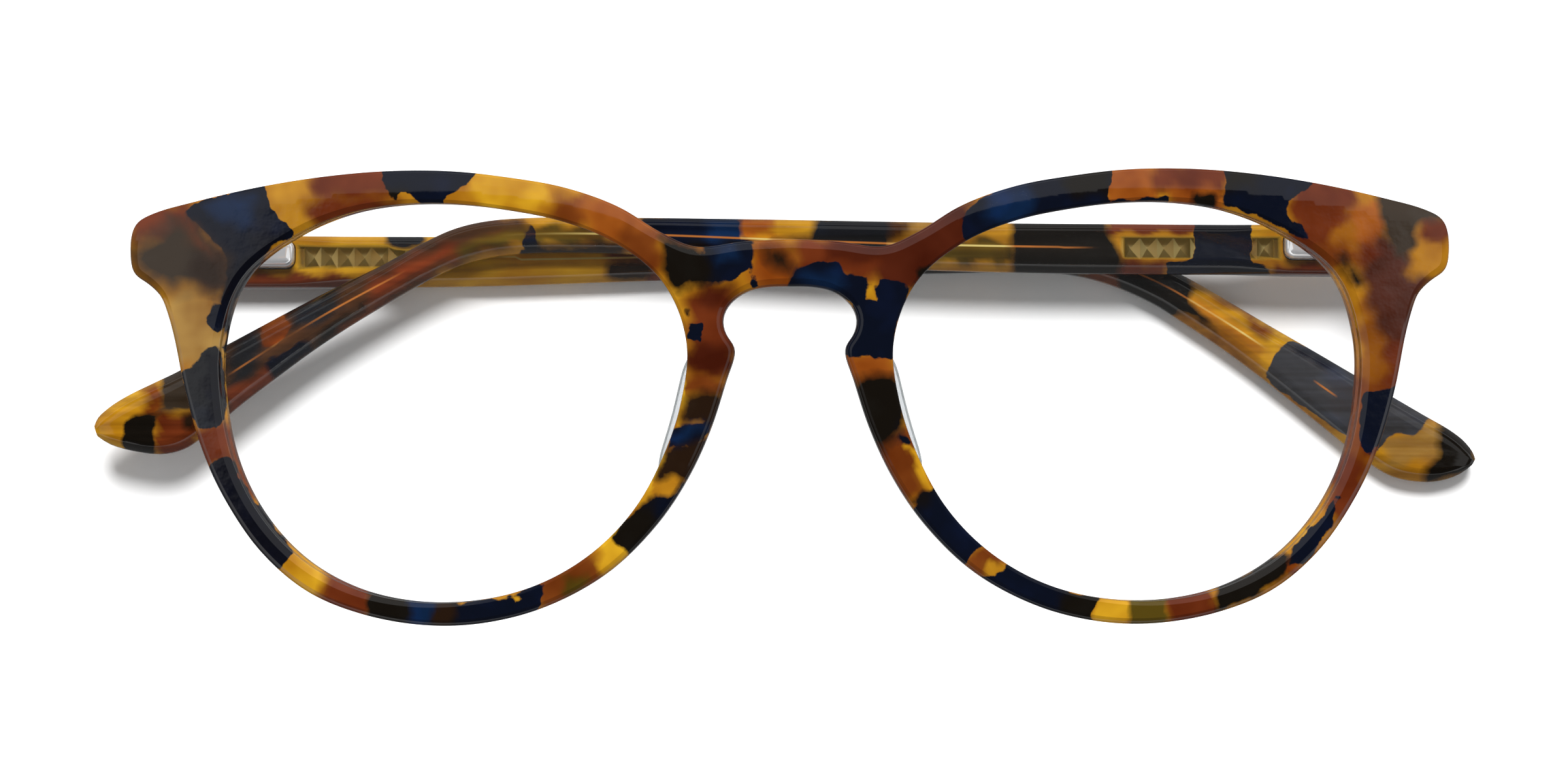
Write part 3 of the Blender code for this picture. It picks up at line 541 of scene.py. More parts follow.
def pad_piece(word, side):
    spine = [(8.5, 5.3), (8.85, 3.0), (9.55, -0.2), (10.4, -3.3), (11.35, -6.2), (12.1, -8.3)]
    mids = even(curve(spine, 8), 0.35, False)
    tang = np.gradient(mids, axis=0)
    tang /= np.linalg.norm(tang, axis=1)[:, None]
    nrm = np.c_[-tang[:, 1], tang[:, 0]]
    f = np.linspace(0, 1, len(mids))
    bell = np.sqrt(np.maximum(0, 1 - (2 * f - 1) ** 6))
    rings = []
    for w, narrow, splay in (
        (3.95, 0.45, -0.05), (4.2, 0.25, 0.03), (4.5, 0.12, 0.15), (5.0, 0.03, 0.38), (5.5, 0.0, 0.62), (5.9, 0.22, 0.79),
        (6.2, 0.5, 0.9), (6.4, 0.85, 0.97), (6.5, 1.15, 1.0),
    ):
        hw = np.maximum(1.9 * bell * (1 - narrow / 2.0), 0.12)[:, None]
        q = mids + np.c_[np.zeros(len(f)), (f - 0.5) * 2 * narrow * 0.35]
        s = np.array((splay, 0.0))
        loop = np.vstack([q + nrm * hw + s, (q - nrm * hw * (1 - 0.4 * f * f)[:, None] + s)[::-1]])
        loop[:, 0] *= side
        rings.append(to_world(sheet(loop, w)))
    return build("pad_" + word, *loft(rings), angle=50.0)


# ---------------------------------------------------------------- tortoiseshell pattern
AMBER, GOLD, YELLOW = (192, 130, 26), (208, 150, 34), (226, 170, 34)
RUST, BURNT, ORANGE = (116, 50, 20), (84, 32, 14), (168, 90, 26)
OLIVE, TAN, PLUM = (92, 74, 18), (178, 136, 64), (86, 44, 32)
NAVY, INK, BLACK = (9, 15, 31), (10, 11, 21), (20, 15, 9)
SLATE, BROWN, BLUE = (28, 29, 33), (40, 24, 12), (13, 36, 68)
MURK, CHESTNUT = (58, 46, 34), (128, 64, 20)
DUSK, CARAMEL, ASH = (74, 46, 26), (158, 94, 22), (62, 62, 66)


def box_poly(x0, y0, x1, y1, k=0.18):
    """A rough eight-sided patch filling a box."""
    dx, dy = (x1 - x0) * k, (y1 - y0) * k
    return [(x0 + dx, y0), (x1 - dx, y0), (x1, y0 + dy), (x1, y1 - dy), (x1 - dx, y1), (x0 + dx, y1), (x0, y1 - dy), (x0, y0 + dy)]


# Each table holds (colour, softness in mm, outline), with outlines in fifteenths of a millimetre as
# seen from above. LIGHT layers are soft, DARK ones crisp, TINT colours the dark, ISLAND cuts a hole in it.
FRONT_LIGHT = [
    (RUST, 1.0, box_poly(195, 310, 300, 372)),
    (TAN, 1.0, box_poly(255, 445, 350, 560)),
    (DUSK, 0.8, [(262, 330), (300, 335), (345, 380), (360, 450), (300, 440), (270, 390)]),
    (RUST, 0.5, [(262, 336), (284, 342), (306, 360), (322, 392), (300, 384), (274, 356)]),
    (GOLD, 0.5, box_poly(400, 250, 476, 372)),
    (RUST, 0.9, box_poly(470, 300, 610, 345)),
    (RUST, 0.8, box_poly(476, 245, 600, 304)),
    (YELLOW, 0.6, box_poly(722, 255, 838, 320)),
    (CHESTNUT, 0.8, box_poly(846, 298, 905, 345)),
    (ORANGE, 1.2, box_poly(895, 290, 1000, 380)),
    (CHESTNUT, 1.0, box_poly(948, 345, 1014, 430)),
    (RUST, 0.6, box_poly(295, 648, 360, 712)),
    (CHESTNUT, 0.5, box_poly(352, 640, 400, 775)),
    (YELLOW, 0.4, box_poly(425, 835, 497, 905)),
    (RUST, 0.9, box_poly(492, 870, 575, 945)),
    (CHESTNUT, 0.8, box_poly(820, 848, 923, 938)),
    (OLIVE, 0.5, box_poly(862, 880, 898, 908)),
    (YELLOW, 0.4, box_poly(918, 808, 968, 885)),
    (GOLD, 0.8, box_poly(1030, 436, 1080, 466)),
    (RUST, 0.9, box_poly(1052, 444, 1130, 540)),
    (BURNT, 1.0, box_poly(1070, 430, 1120, 470)),
    (BURNT, 0.8, box_poly(1050, 524, 1128, 578)),
    (CHESTNUT, 0.7, box_poly(1040, 574, 1112, 606)),
    # painted highlight: this entry and the next are thin yellow lines of edge light along the inner edge of a lens
    # opening
    (YELLOW, 0.12, [(1053, 580), (1042, 575), (1036, 640), (1030, 655), (1042, 650), (1049, 620)]),
    (YELLOW, 0.12, [(1021, 690), (1010, 688), (970, 770), (986, 776), (1004, 735)]),
    (ORANGE, 0.8, box_poly(1150, 370, 1216, 446)),
    (RUST, 1.0, box_poly(1214, 360, 1366, 430)),
    (BURNT, 0.7, box_poly(1262, 368, 1350, 402)),
    (BURNT, 0.8, [(1340, 370), (1400, 330), (1490, 300), (1490, 380), (1478, 440), (1345, 450)]),
    (BURNT, 0.8, [(1000, 340), (1060, 350), (1110, 372), (1100, 392), (1060, 380), (1010, 366)]),
    (ORANGE, 0.5, box_poly(1290, 540, 1370, 588)),
    (CHESTNUT, 0.8, box_poly(1338, 655, 1410, 770)),
    # painted highlight: a thin yellow line of edge light along the inner edge of a lens opening
    (YELLOW, 0.12, [(1384, 676), (1392, 674), (1424, 735), (1430, 752), (1420, 752), (1398, 708)]),
    (CHESTNUT, 0.7, box_poly(1480, 838, 1545, 885)),
    (GOLD, 0.4, box_poly(1512, 858, 1544, 890)),
    (YELLOW, 0.3, box_poly(1674, 908, 1730, 960)),
    (RUST, 0.4, box_poly(1783, 900, 1862, 955)),
    (RUST, 0.5, box_poly(1955, 845, 1990, 880)),
    # painted highlight: a thin yellow line of edge light along the inner edge of a lens opening
    (YELLOW, 0.3, [(1950, 853), (2004, 803), (2012, 812), (1975, 850)]),
    (RUST, 0.8, box_poly(2032, 690, 2092, 800)),
    (CHESTNUT, 0.8, box_poly(2050, 570, 2140, 700)),
    (CARAMEL, 0.7, box_poly(2060, 440, 2130, 580)),
    (AMBER, 0.4, box_poly(2064, 420, 2084, 560)),
    (PLUM, 0.8, [(2084, 398), (2110, 360), (2160, 372), (2200, 420), (2175, 450), (2165, 540), (2125, 540), (2100, 480), (2088, 440)]),
    (RUST, 0.6, box_poly(2120, 520, 2156, 600)),
    (RUST, 0.8, box_poly(1975, 325, 2110, 405)),
    (CARAMEL, 0.6, box_poly(2038, 338, 2086, 392)),
    (CHESTNUT, 0.7, box_poly(2016, 372, 2062, 410)),
    (RUST, 0.6, [(1976, 283), (2010, 270), (2070, 285), (2078, 310), (2050, 345), (2010, 350), (1976, 335)]),
    (ORANGE, 0.6, box_poly(2072, 308, 2118, 368)),
    (ORANGE, 0.4, box_poly(1690, 250, 1768, 318)),
    (RUST, 0.6, box_poly(1764, 250, 1880, 300)),
    (ORANGE, 0.6, box_poly(1790, 288, 1872, 325)),
    (AMBER, 0.6, box_poly(2156, 372, 2225, 425)),
    (RUST, 0.5, box_poly(2172, 330, 2225, 368)),
]
FRONT_DARK = [
    (MURK, 1.4, [(190, 380), (236, 356), (262, 336), (290, 340), (320, 372), (346, 392), (354, 440), (330, 452), (296, 440), (262, 446), (222, 432), (196, 405)]),
    (NAVY, 0.05, [(283, 323), (313, 305), (367, 285), (402, 278), (410, 300), (420, 327), (425, 339), (438, 340), (449, 357), (436, 366), (420, 377), (413, 387), (400, 403), (380, 427), (366, 443), (352, 472), (343, 478), (335, 460), (340, 430), (342, 400), (335, 380), (323, 372), (317, 360), (303, 350), (287, 337)]),
    (INK, 0.3, [(345, 440), (420, 376), (408, 398), (372, 445), (352, 490), (340, 500), (334, 478)]),
    (NAVY, 0.05, [(579, 262), (590, 250), (730, 250), (728, 267), (720, 277), (700, 290), (682, 303), (676, 318), (657, 318), (640, 309), (631, 300), (612, 299), (607, 310), (597, 300), (592, 290), (583, 277)]),
    (BLACK, 0.45, [(1010, 362), (1050, 375), (1090, 390), (1108, 402), (1100, 430), (1076, 438), (1057, 438), (1037, 448), (1026, 440), (1014, 413)]),
    (NAVY, 0.06, [(1078, 370), (1152, 370), (1150, 410), (1140, 417), (1112, 430), (1086, 437), (1076, 415)]),
    (NAVY, 0.05, [(1145, 414), (1152, 416), (1157, 425), (1150, 428)]),
    (NAVY, 0.05, [(1149, 428), (1157, 430), (1162, 439), (1151, 441)]),
    (BROWN, 0.9, [(1166, 380), (1180, 374), (1204, 384), (1216, 402), (1206, 420), (1186, 412), (1172, 402)]),
    (NAVY, 0.05, [(329, 466), (340, 464), (344, 483), (342, 505), (333, 512), (324, 506), (316, 497), (320, 481)]),
    (INK, 0.1, [(348, 486), (362, 480), (356, 520), (351, 540), (341, 540), (339, 530), (345, 524)]),
    (SLATE, 0.06, [(318, 531), (329, 528), (341, 537), (345, 563), (350, 617), (342, 648), (332, 660), (305, 655), (290, 633), (278, 595), (278, 572), (305, 553), (314, 539)]),
    (INK, 0.06, [(320, 712), (332, 702), (352, 698), (358, 706), (370, 733), (388, 765), (404, 775), (420, 805), (446, 836), (452, 848), (441, 850), (430, 872), (400, 880), (330, 800)]),
    (BLACK, 0.3, [(562, 900), (600, 908), (640, 918), (700, 918), (705, 965), (560, 965)]),
    (NAVY, 0.06, [(690, 925), (730, 917), (765, 918), (790, 910), (808, 898), (831, 893), (834, 905), (828, 925), (814, 940), (790, 960), (690, 965)]),
    (BLACK, 0.15, [(1018, 802), (985, 842), (964, 854), (946, 836), (934, 822), (956, 798), (984, 770), (1000, 760), (1012, 770)]),
    (NAVY, 0.3, [(1046, 738), (1072, 742), (1045, 785), (1016, 812), (990, 795), (985, 772), (1005, 758), (1024, 758)]),
    (BROWN, 0.6, [(1046, 606), (1072, 598), (1114, 596), (1112, 640), (1096, 652), (1052, 650), (1040, 644)]),
    (BROWN, 0.4, [(1022, 686), (1046, 680), (1092, 668), (1094, 700), (1068, 745), (1050, 738), (1032, 728), (1010, 740), (1000, 734)]),
    (NAVY, 0.06, [(1018, 690), (1030, 657), (1048, 647), (1092, 642), (1082, 668), (1066, 676), (1046, 683)]),
    (NAVY, 0.04, [(1049, 493), (1079, 494), (1075, 523), (1051, 520)]),
    (BROWN, 0.15, box_poly(1047, 472, 1057, 486)),
    (NAVY, 0.06, [(1207, 445), (1209, 424), (1220, 410), (1247, 400), (1262, 401), (1278, 402), (1296, 419), (1326, 423), (1334, 435), (1343, 435), (1347, 425), (1364, 427), (1392, 436), (1388, 467), (1372, 501), (1368, 555), (1348, 547), (1334, 543), (1322, 548), (1297, 550), (1290, 536), (1293, 520), (1308, 498), (1308, 480), (1300, 463), (1284, 452), (1262, 446)]),
    (BLACK, 0.7, [(1290, 596), (1322, 574), (1366, 570), (1392, 600), (1388, 640), (1376, 666), (1352, 690), (1330, 684), (1306, 640)]),
    (NAVY, 0.05, [(1370, 650), (1374, 638), (1382, 655), (1395, 678), (1380, 677), (1373, 668)]),
    (BLACK, 0.3, [(1396, 768), (1412, 750), (1430, 752), (1440, 772), (1425, 800), (1408, 785)]),
    (NAVY, 0.06, [(1398, 778), (1412, 758), (1434, 745), (1474, 775), (1520, 825), (1498, 840), (1480, 862), (1462, 876), (1420, 835), (1388, 804)]),
    (NAVY, 0.06, [(1498, 880), (1515, 880), (1525, 877), (1535, 872), (1541, 858), (1560, 868), (1600, 886), (1636, 898), (1625, 965), (1560, 950), (1485, 910)]),
    (BLACK, 0.08, [(1615, 900), (1650, 910), (1683, 914), (1674, 935), (1673, 960), (1610, 950)]),
    (OLIVE, 0.25, box_poly(1729, 905, 1785, 965, 0.05)),
    (BLACK, 0.3, [(1860, 890), (1900, 880), (1950, 850), (1968, 840), (1978, 855), (1965, 880), (1920, 915), (1864, 942)]),
    (NAVY, 0.06, [(1974, 843), (1981, 833), (2000, 810), (2027, 787), (2043, 758), (2051, 760), (2041, 780), (2040, 800), (2024, 830), (2003, 856), (1988, 870), (1977, 863)]),
    (NAVY, 0.06, [(2087, 602), (2105, 597), (2138, 592), (2138, 610), (2132, 645), (2112, 675), (2096, 694), (2080, 680), (2081, 639)]),
    (BLACK, 0.5, [(2046, 392), (2060, 388), (2079, 412), (2086, 439), (2076, 444), (2056, 418)]),
    (NAVY, 0.06, [(1872, 262), (1900, 255), (1960, 262), (2014, 281), (1994, 293), (1975, 305), (1972, 332), (1993, 341), (2010, 374), (1990, 368), (1964, 349), (1918, 331), (1872, 314), (1876, 289)]),
    (NAVY, 0.06, [(1471, 350), (1476, 330), (1500, 305), (1540, 280), (1600, 262), (1660, 252), (1702, 252), (1703, 270), (1697, 300), (1704, 302), (1740, 305), (1788, 300), (1790, 316), (1690, 316), (1660, 318), (1600, 332), (1560, 344), (1520, 360), (1490, 372), (1476, 368)]),
    (BLACK, 0.35, box_poly(1824, 296, 1862, 320)),
    (BLACK, 0.2, box_poly(1404, 408, 1426, 426)),
    (MURK, 0.5, [(2104, 290), (2180, 296), (2225, 320), (2222, 338), (2178, 342), (2166, 360), (2168, 376), (2150, 396), (2136, 392), (2120, 356), (2108, 326)]),
]
FRONT_TINT = [
    # painted shade: darkens the slate patch over the inner bevel and wall of the lens opening
    (INK, 0.3, [(318, 535), (352, 538), (358, 640), (340, 657), (324, 640), (312, 590)]),
    (BLUE, 0.8, [(318, 312), (362, 298), (384, 300), (390, 322), (372, 346), (344, 342)]),
    (DUSK, 0.9, [(283, 347), (306, 352), (326, 374), (334, 394), (316, 394), (298, 380), (284, 362)]),
    (BROWN, 1.2, box_poly(290, 385, 350, 450)),
    (INK, 0.6, [(400, 350), (447, 357), (380, 430), (345, 478), (335, 460), (352, 420)]),
    (BLACK, 0.5, box_poly(575, 285, 625, 312)),
    (BLUE, 0.7, box_poly(1096, 372, 1128, 400)),
    (BLUE, 0.6, box_poly(628, 905, 664, 965)),
    (BROWN, 0.4, box_poly(664, 905, 694, 965)),
    (BLUE, 1.0, box_poly(1230, 418, 1290, 442)),
    (BLUE, 0.8, box_poly(1510, 285, 1580, 340)),
    (BLACK, 0.8, box_poly(1630, 250, 1704, 300)),
    (BLUE, 0.6, [(1020, 672), (1050, 652), (1084, 650), (1060, 664), (1040, 676)]),
    (BLACK, 1.0, box_poly(1872, 255, 1925, 290)),
]
FRONT_ISLAND = [
    (YELLOW, [(1325, 438), (1337, 437), (1339, 450), (1342, 458), (1325, 459)]),
    # painted highlights: this entry and the two after it are lines of edge light along the inner edges of the lens
    # openings
    (YELLOW, [(762, 921), (775, 915), (798, 911), (797, 917), (785, 922)]),
    (YELLOW, [(343, 536), (352, 532), (352, 570), (356, 632), (350, 634), (345, 600)]),
    (ORANGE, [(1972, 862), (1990, 866), (1985, 874), (1970, 872)]),
]
LEFT_LIGHT = [
    (DUSK, 0.8, [(330, 480), (640, 320), (760, 320), (760, 380), (690, 410), (560, 500), (330, 680)]),
    (RUST, 0.5, box_poly(1950, 400, 2300, 440)),
    (YELLOW, 0.5, box_poly(1900, 330, 1975, 364)),
    (AMBER, 0.8, box_poly(1700, 330, 1830, 440)),
    (RUST, 0.25, box_poly(1690, 330, 1845, 357, 0.05)),
    (RUST, 0.5, box_poly(1700, 398, 1786, 440)),
    (OLIVE, 0.7, box_poly(1420, 362, 1552, 405)),
    (GOLD, 0.4, box_poly(1400, 330, 1572, 364)),
    (DUSK, 0.8, box_poly(1330, 330, 1400, 366)),
    (TAN, 0.8, box_poly(1390, 330, 1450, 366)),
    (GOLD, 0.3, box_poly(1430, 402, 1556, 410)),
    (ORANGE, 0.6, box_poly(1120, 330, 1200, 362)),
    (GOLD, 0.4, box_poly(1180, 330, 1248, 360)),
    (CHESTNUT, 0.8, box_poly(590, 330, 800, 382)),
    (OLIVE, 0.5, [(600, 404), (700, 358), (800, 345), (930, 345), (930, 375), (800, 372), (720, 385), (640, 425)]),
    (CHESTNUT, 0.6, box_poly(210, 590, 250, 640)),
    (RUST, 0.6, box_poly(236, 632, 305, 705)),
    (YELLOW, 0.7, box_poly(130, 590, 220, 700, 0.08)),
    (ORANGE, 0.35, [(400, 490), (440, 470), (447, 500), (420, 530), (402, 530)]),
    (BURNT, 0.4, [(352, 575), (420, 550), (420, 590), (352, 640)]),
    (CHESTNUT, 0.6, [(515, 470), (640, 395), (700, 372), (700, 400), (620, 440), (560, 500), (515, 520)]),
]
LEFT_DARK = [
    (NAVY, 0.05, [(1828, 330), (1914, 330), (1918, 362), (1914, 402), (1944, 414), (1935, 440), (1785, 440), (1785, 402), (1826, 396)]),
    (BLACK, 0.5, [(1545, 330), (1694, 330), (1700, 358), (1720, 400), (1702, 440), (1548, 440)]),
    (SLATE, 0.5, [(1244, 345), (1244, 330), (1362, 330), (1362, 372), (1420, 372), (1420, 440), (1280, 440), (1180, 380), (1180, 364), (1240, 362)]),
    (NAVY, 0.25, [(980, 330), (1136, 330), (1136, 362), (1180, 372), (1180, 440), (980, 440)]),
    (NAVY, 0.05, [(796, 390), (799, 368), (807, 355), (813, 345), (819, 350), (824, 367), (824, 390)]),
    (BROWN, 0.6, [(820, 378), (960, 368), (960, 400), (800, 398)]),
    (DUSK, 0.5, [(340, 500), (440, 450), (560, 390), (640, 355), (720, 335), (800, 330), (800, 350), (730, 362), (690, 390), (640, 425), (590, 455), (540, 490), (475, 545), (415, 590), (340, 650)]),
    (MURK, 0.3, [(246, 560), (352, 520), (352, 620), (287, 632), (244, 628)]),
    (BLACK, 0.15, [(190, 645), (206, 636), (237, 634), (238, 700), (186, 700)]),
    (BROWN, 0.4, box_poly(278, 630, 302, 660)),
]
LEFT_TINT = [
    (SLATE, 0.8, [(352, 520), (400, 490), (400, 560), (352, 600)]),
    (SLATE, 0.6, [(446, 470), (520, 430), (520, 475), (450, 510)]),
    (BLACK, 0.4, [(340, 500), (640, 345), (640, 372), (340, 535)]),
    (RUST, 0.5, [(350, 600), (412, 562), (420, 600), (352, 660)]),
    (NAVY, 0.06, [(410, 566), (416, 546), (474, 516), (480, 560), (420, 600)]),
    (BLACK, 0.4, [(480, 520), (520, 492), (560, 466), (580, 500), (482, 560)]),
    (RUST, 0.9, [(560, 440), (640, 390), (700, 372), (690, 396), (620, 436), (570, 468)]),
    (BROWN, 0.5, [(580, 470), (640, 435), (700, 395), (760, 400), (620, 480)]),
    (BLUE, 0.8, box_poly(1082, 330, 1136, 372)),
    (BLACK, 0.8, box_poly(985, 372, 1180, 440)),
    (INK, 0.5, box_poly(1828, 330, 1914, 362)),
]
RIGHT_LIGHT = [
    (RUST, 0.5, box_poly(150, 418, 560, 460)),
    (YELLOW, 0.6, box_poly(420, 375, 620, 416)),
    (YELLOW, 0.6, box_poly(640, 375, 925, 440)),
    (CHESTNUT, 0.5, box_poly(925, 340, 1000, 402)),
    (RUST, 0.5, box_poly(985, 370, 1100, 470)),
    (CHESTNUT, 0.5, box_poly(1660, 405, 1740, 440)),
    (YELLOW, 0.3, [(1822, 442), (1840, 434), (1985, 520), (1930, 550), (1880, 500)]),
    (CHESTNUT, 0.5, [(1860, 450), (1900, 470), (1960, 515), (1940, 520)]),
    (AMBER, 0.4, [(1803, 475), (1830, 470), (1935, 530), (1930, 580), (1870, 540)]),
    (ORANGE, 0.15, [(2019, 586), (2046, 597), (2043, 602), (2018, 590)]),
    (TAN, 0.5, [(2120, 680), (2140, 662), (2172, 660), (2180, 640), (2215, 655), (2205, 700), (2120, 715)]),
]
RIGHT_DARK = [
    (SLATE, 0.3, box_poly(590, 350, 650, 380)),
    (BROWN, 0.5, box_poly(927, 397, 1000, 430)),
    (BLACK, 0.8, box_poly(1040, 330, 1660, 470)),
    (BLACK, 0.3, [(1700, 400), (1810, 410), (1830, 440), (1822, 462), (1860, 500), (1870, 520), (1830, 490), (1800, 478), (1790, 490), (1712, 440)]),
    (ASH, 0.06, [(1976, 522), (2020, 536), (2140, 600), (2140, 662), (2120, 668), (2110, 690), (2060, 668), (1930, 578), (1938, 562), (1950, 545)]),
    (ASH, 0.08, [(2130, 605), (2188, 636), (2178, 655), (2160, 665), (2140, 662)]),
    (BLACK, 0.5, [(2200, 640), (2262, 680), (2262, 720), (2180, 745), (2180, 715), (2200, 700)]),
]
RIGHT_TINT = [(NAVY, 0.5, [(1976, 522), (2020, 530), (2140, 600), (2140, 610), (2000, 548)])]


def linear(c):
    """Reflectance of a colour given as it looks under the studio light."""
    c = np.array(c, float) / 255
    return 0.52 * np.where(c <= 0.04045, c / 12.92, ((c + 0.055) / 1.055) ** 2.4)


def paint(ob, soft, dark, tint, island, base):
    """Stores the pattern on the mesh: the light colour, the dark colour, and how far each point is from a dark patch."""
    mesh = ob.data
    co = np.empty(len(mesh.vertices) * 3)
    mesh.vertices.foreach_get("co", co)
    p = picture(co.reshape(-1, 3)) / 15.0
    wave = p + 0.3 * np.c_[np.sin(2.1 * p[:, 1] + np.sin(1.3 * p[:, 0])), np.sin(1.7 * p[:, 0] + np.sin(1.9 * p[:, 1]))]

    def layered(colour, layers, where):
        for tone, blur, poly in layers:
            d = distance(where, np.array(poly) / 15.0)
            f = np.clip(0.5 - d / (2 * blur), 0, 1)
            f = (f * f * (3 - 2 * f))[:, None]
            colour = colour * (1 - f) + linear(tone) * f
        return colour
    light = layered(np.tile(linear(base), (len(p), 1)), soft, wave)
    ds = np.array([distance(p, np.array(poly) / 15.0) for _, _, poly in dark])
    w = np.exp(-np.clip(ds - ds.min(0), 0, 12) / 0.3)
    w /= w.sum(0)
    shade = np.einsum("ki,kc->ic", w, np.array([linear(c) for c, _, _ in dark]))
    shade = layered(shade, tint, wave)
    blur = np.einsum("ki,k->i", w, np.array([b for _, b, _ in dark]))
    near = ds.min(0)
    # islands cut holes in the dark: real gaps in the pattern, and on the front painted highlight lines along the lens
    # openings
    for tone, poly in island:
        d = distance(p, np.array(poly) / 15.0)
        near = np.maximum(near, -d)
        f = np.clip(0.5 - d / 0.5, 0, 1)[:, None]
        light = light * (1 - f) + linear(tone) * f
        blur = np.where(d < 0.3, 0.08, blur)
    store(mesh, "light_col", np.c_[light, np.ones(len(p))])
    store(mesh, "dark_col", np.c_[shade, np.ones(len(p))])
    store(mesh, "dark_d", near)
    store(mesh, "dark_blur", blur)


def store(mesh, name, data):
    kind = "FLOAT" if data.ndim == 1 else "FLOAT_COLOR"
    a = mesh.attributes.new(name, kind, "POINT")
    a.data.foreach_set("value" if data.ndim == 1 else "color", data.astype(np.float32).ravel())


# ---------------------------------------------------------------- materials
def nodes_of(name):
    m = bpy.data.materials.new(name)
    m.use_nodes = True
    nt = m.node_tree
    return m, nt, nt.nodes["Principled BSDF"]


def node(nt, kind, inputs=None, **settings):
    n = nt.nodes.new(kind)
    for k, v in settings.items():
        setattr(n, k, v)
    for k, v in (inputs or {}).items():
        if isinstance(v, bpy.types.NodeSocket):
            nt.links.new(v, n.inputs[k])
        else:
            n.inputs[k].default_value = v
    return n


def math_node(nt, op, a, b=0.0, clamp=False):
    return node(nt, "ShaderNodeMath", {0: a, 1: b}, operation=op, use_clamp=clamp).outputs[0]


def mix_colour(nt, fac, a, b, blend="MIX"):
    n = node(nt, "ShaderNodeMix", None, data_type="RGBA", blend_type=blend)
    for k, v in ((0, fac), (6, a), (7, b)):
        if isinstance(v, bpy.types.NodeSocket):
            nt.links.new(v, n.inputs[k])
        else:
            n.inputs[k].default_value = v
    return n.outputs[2]


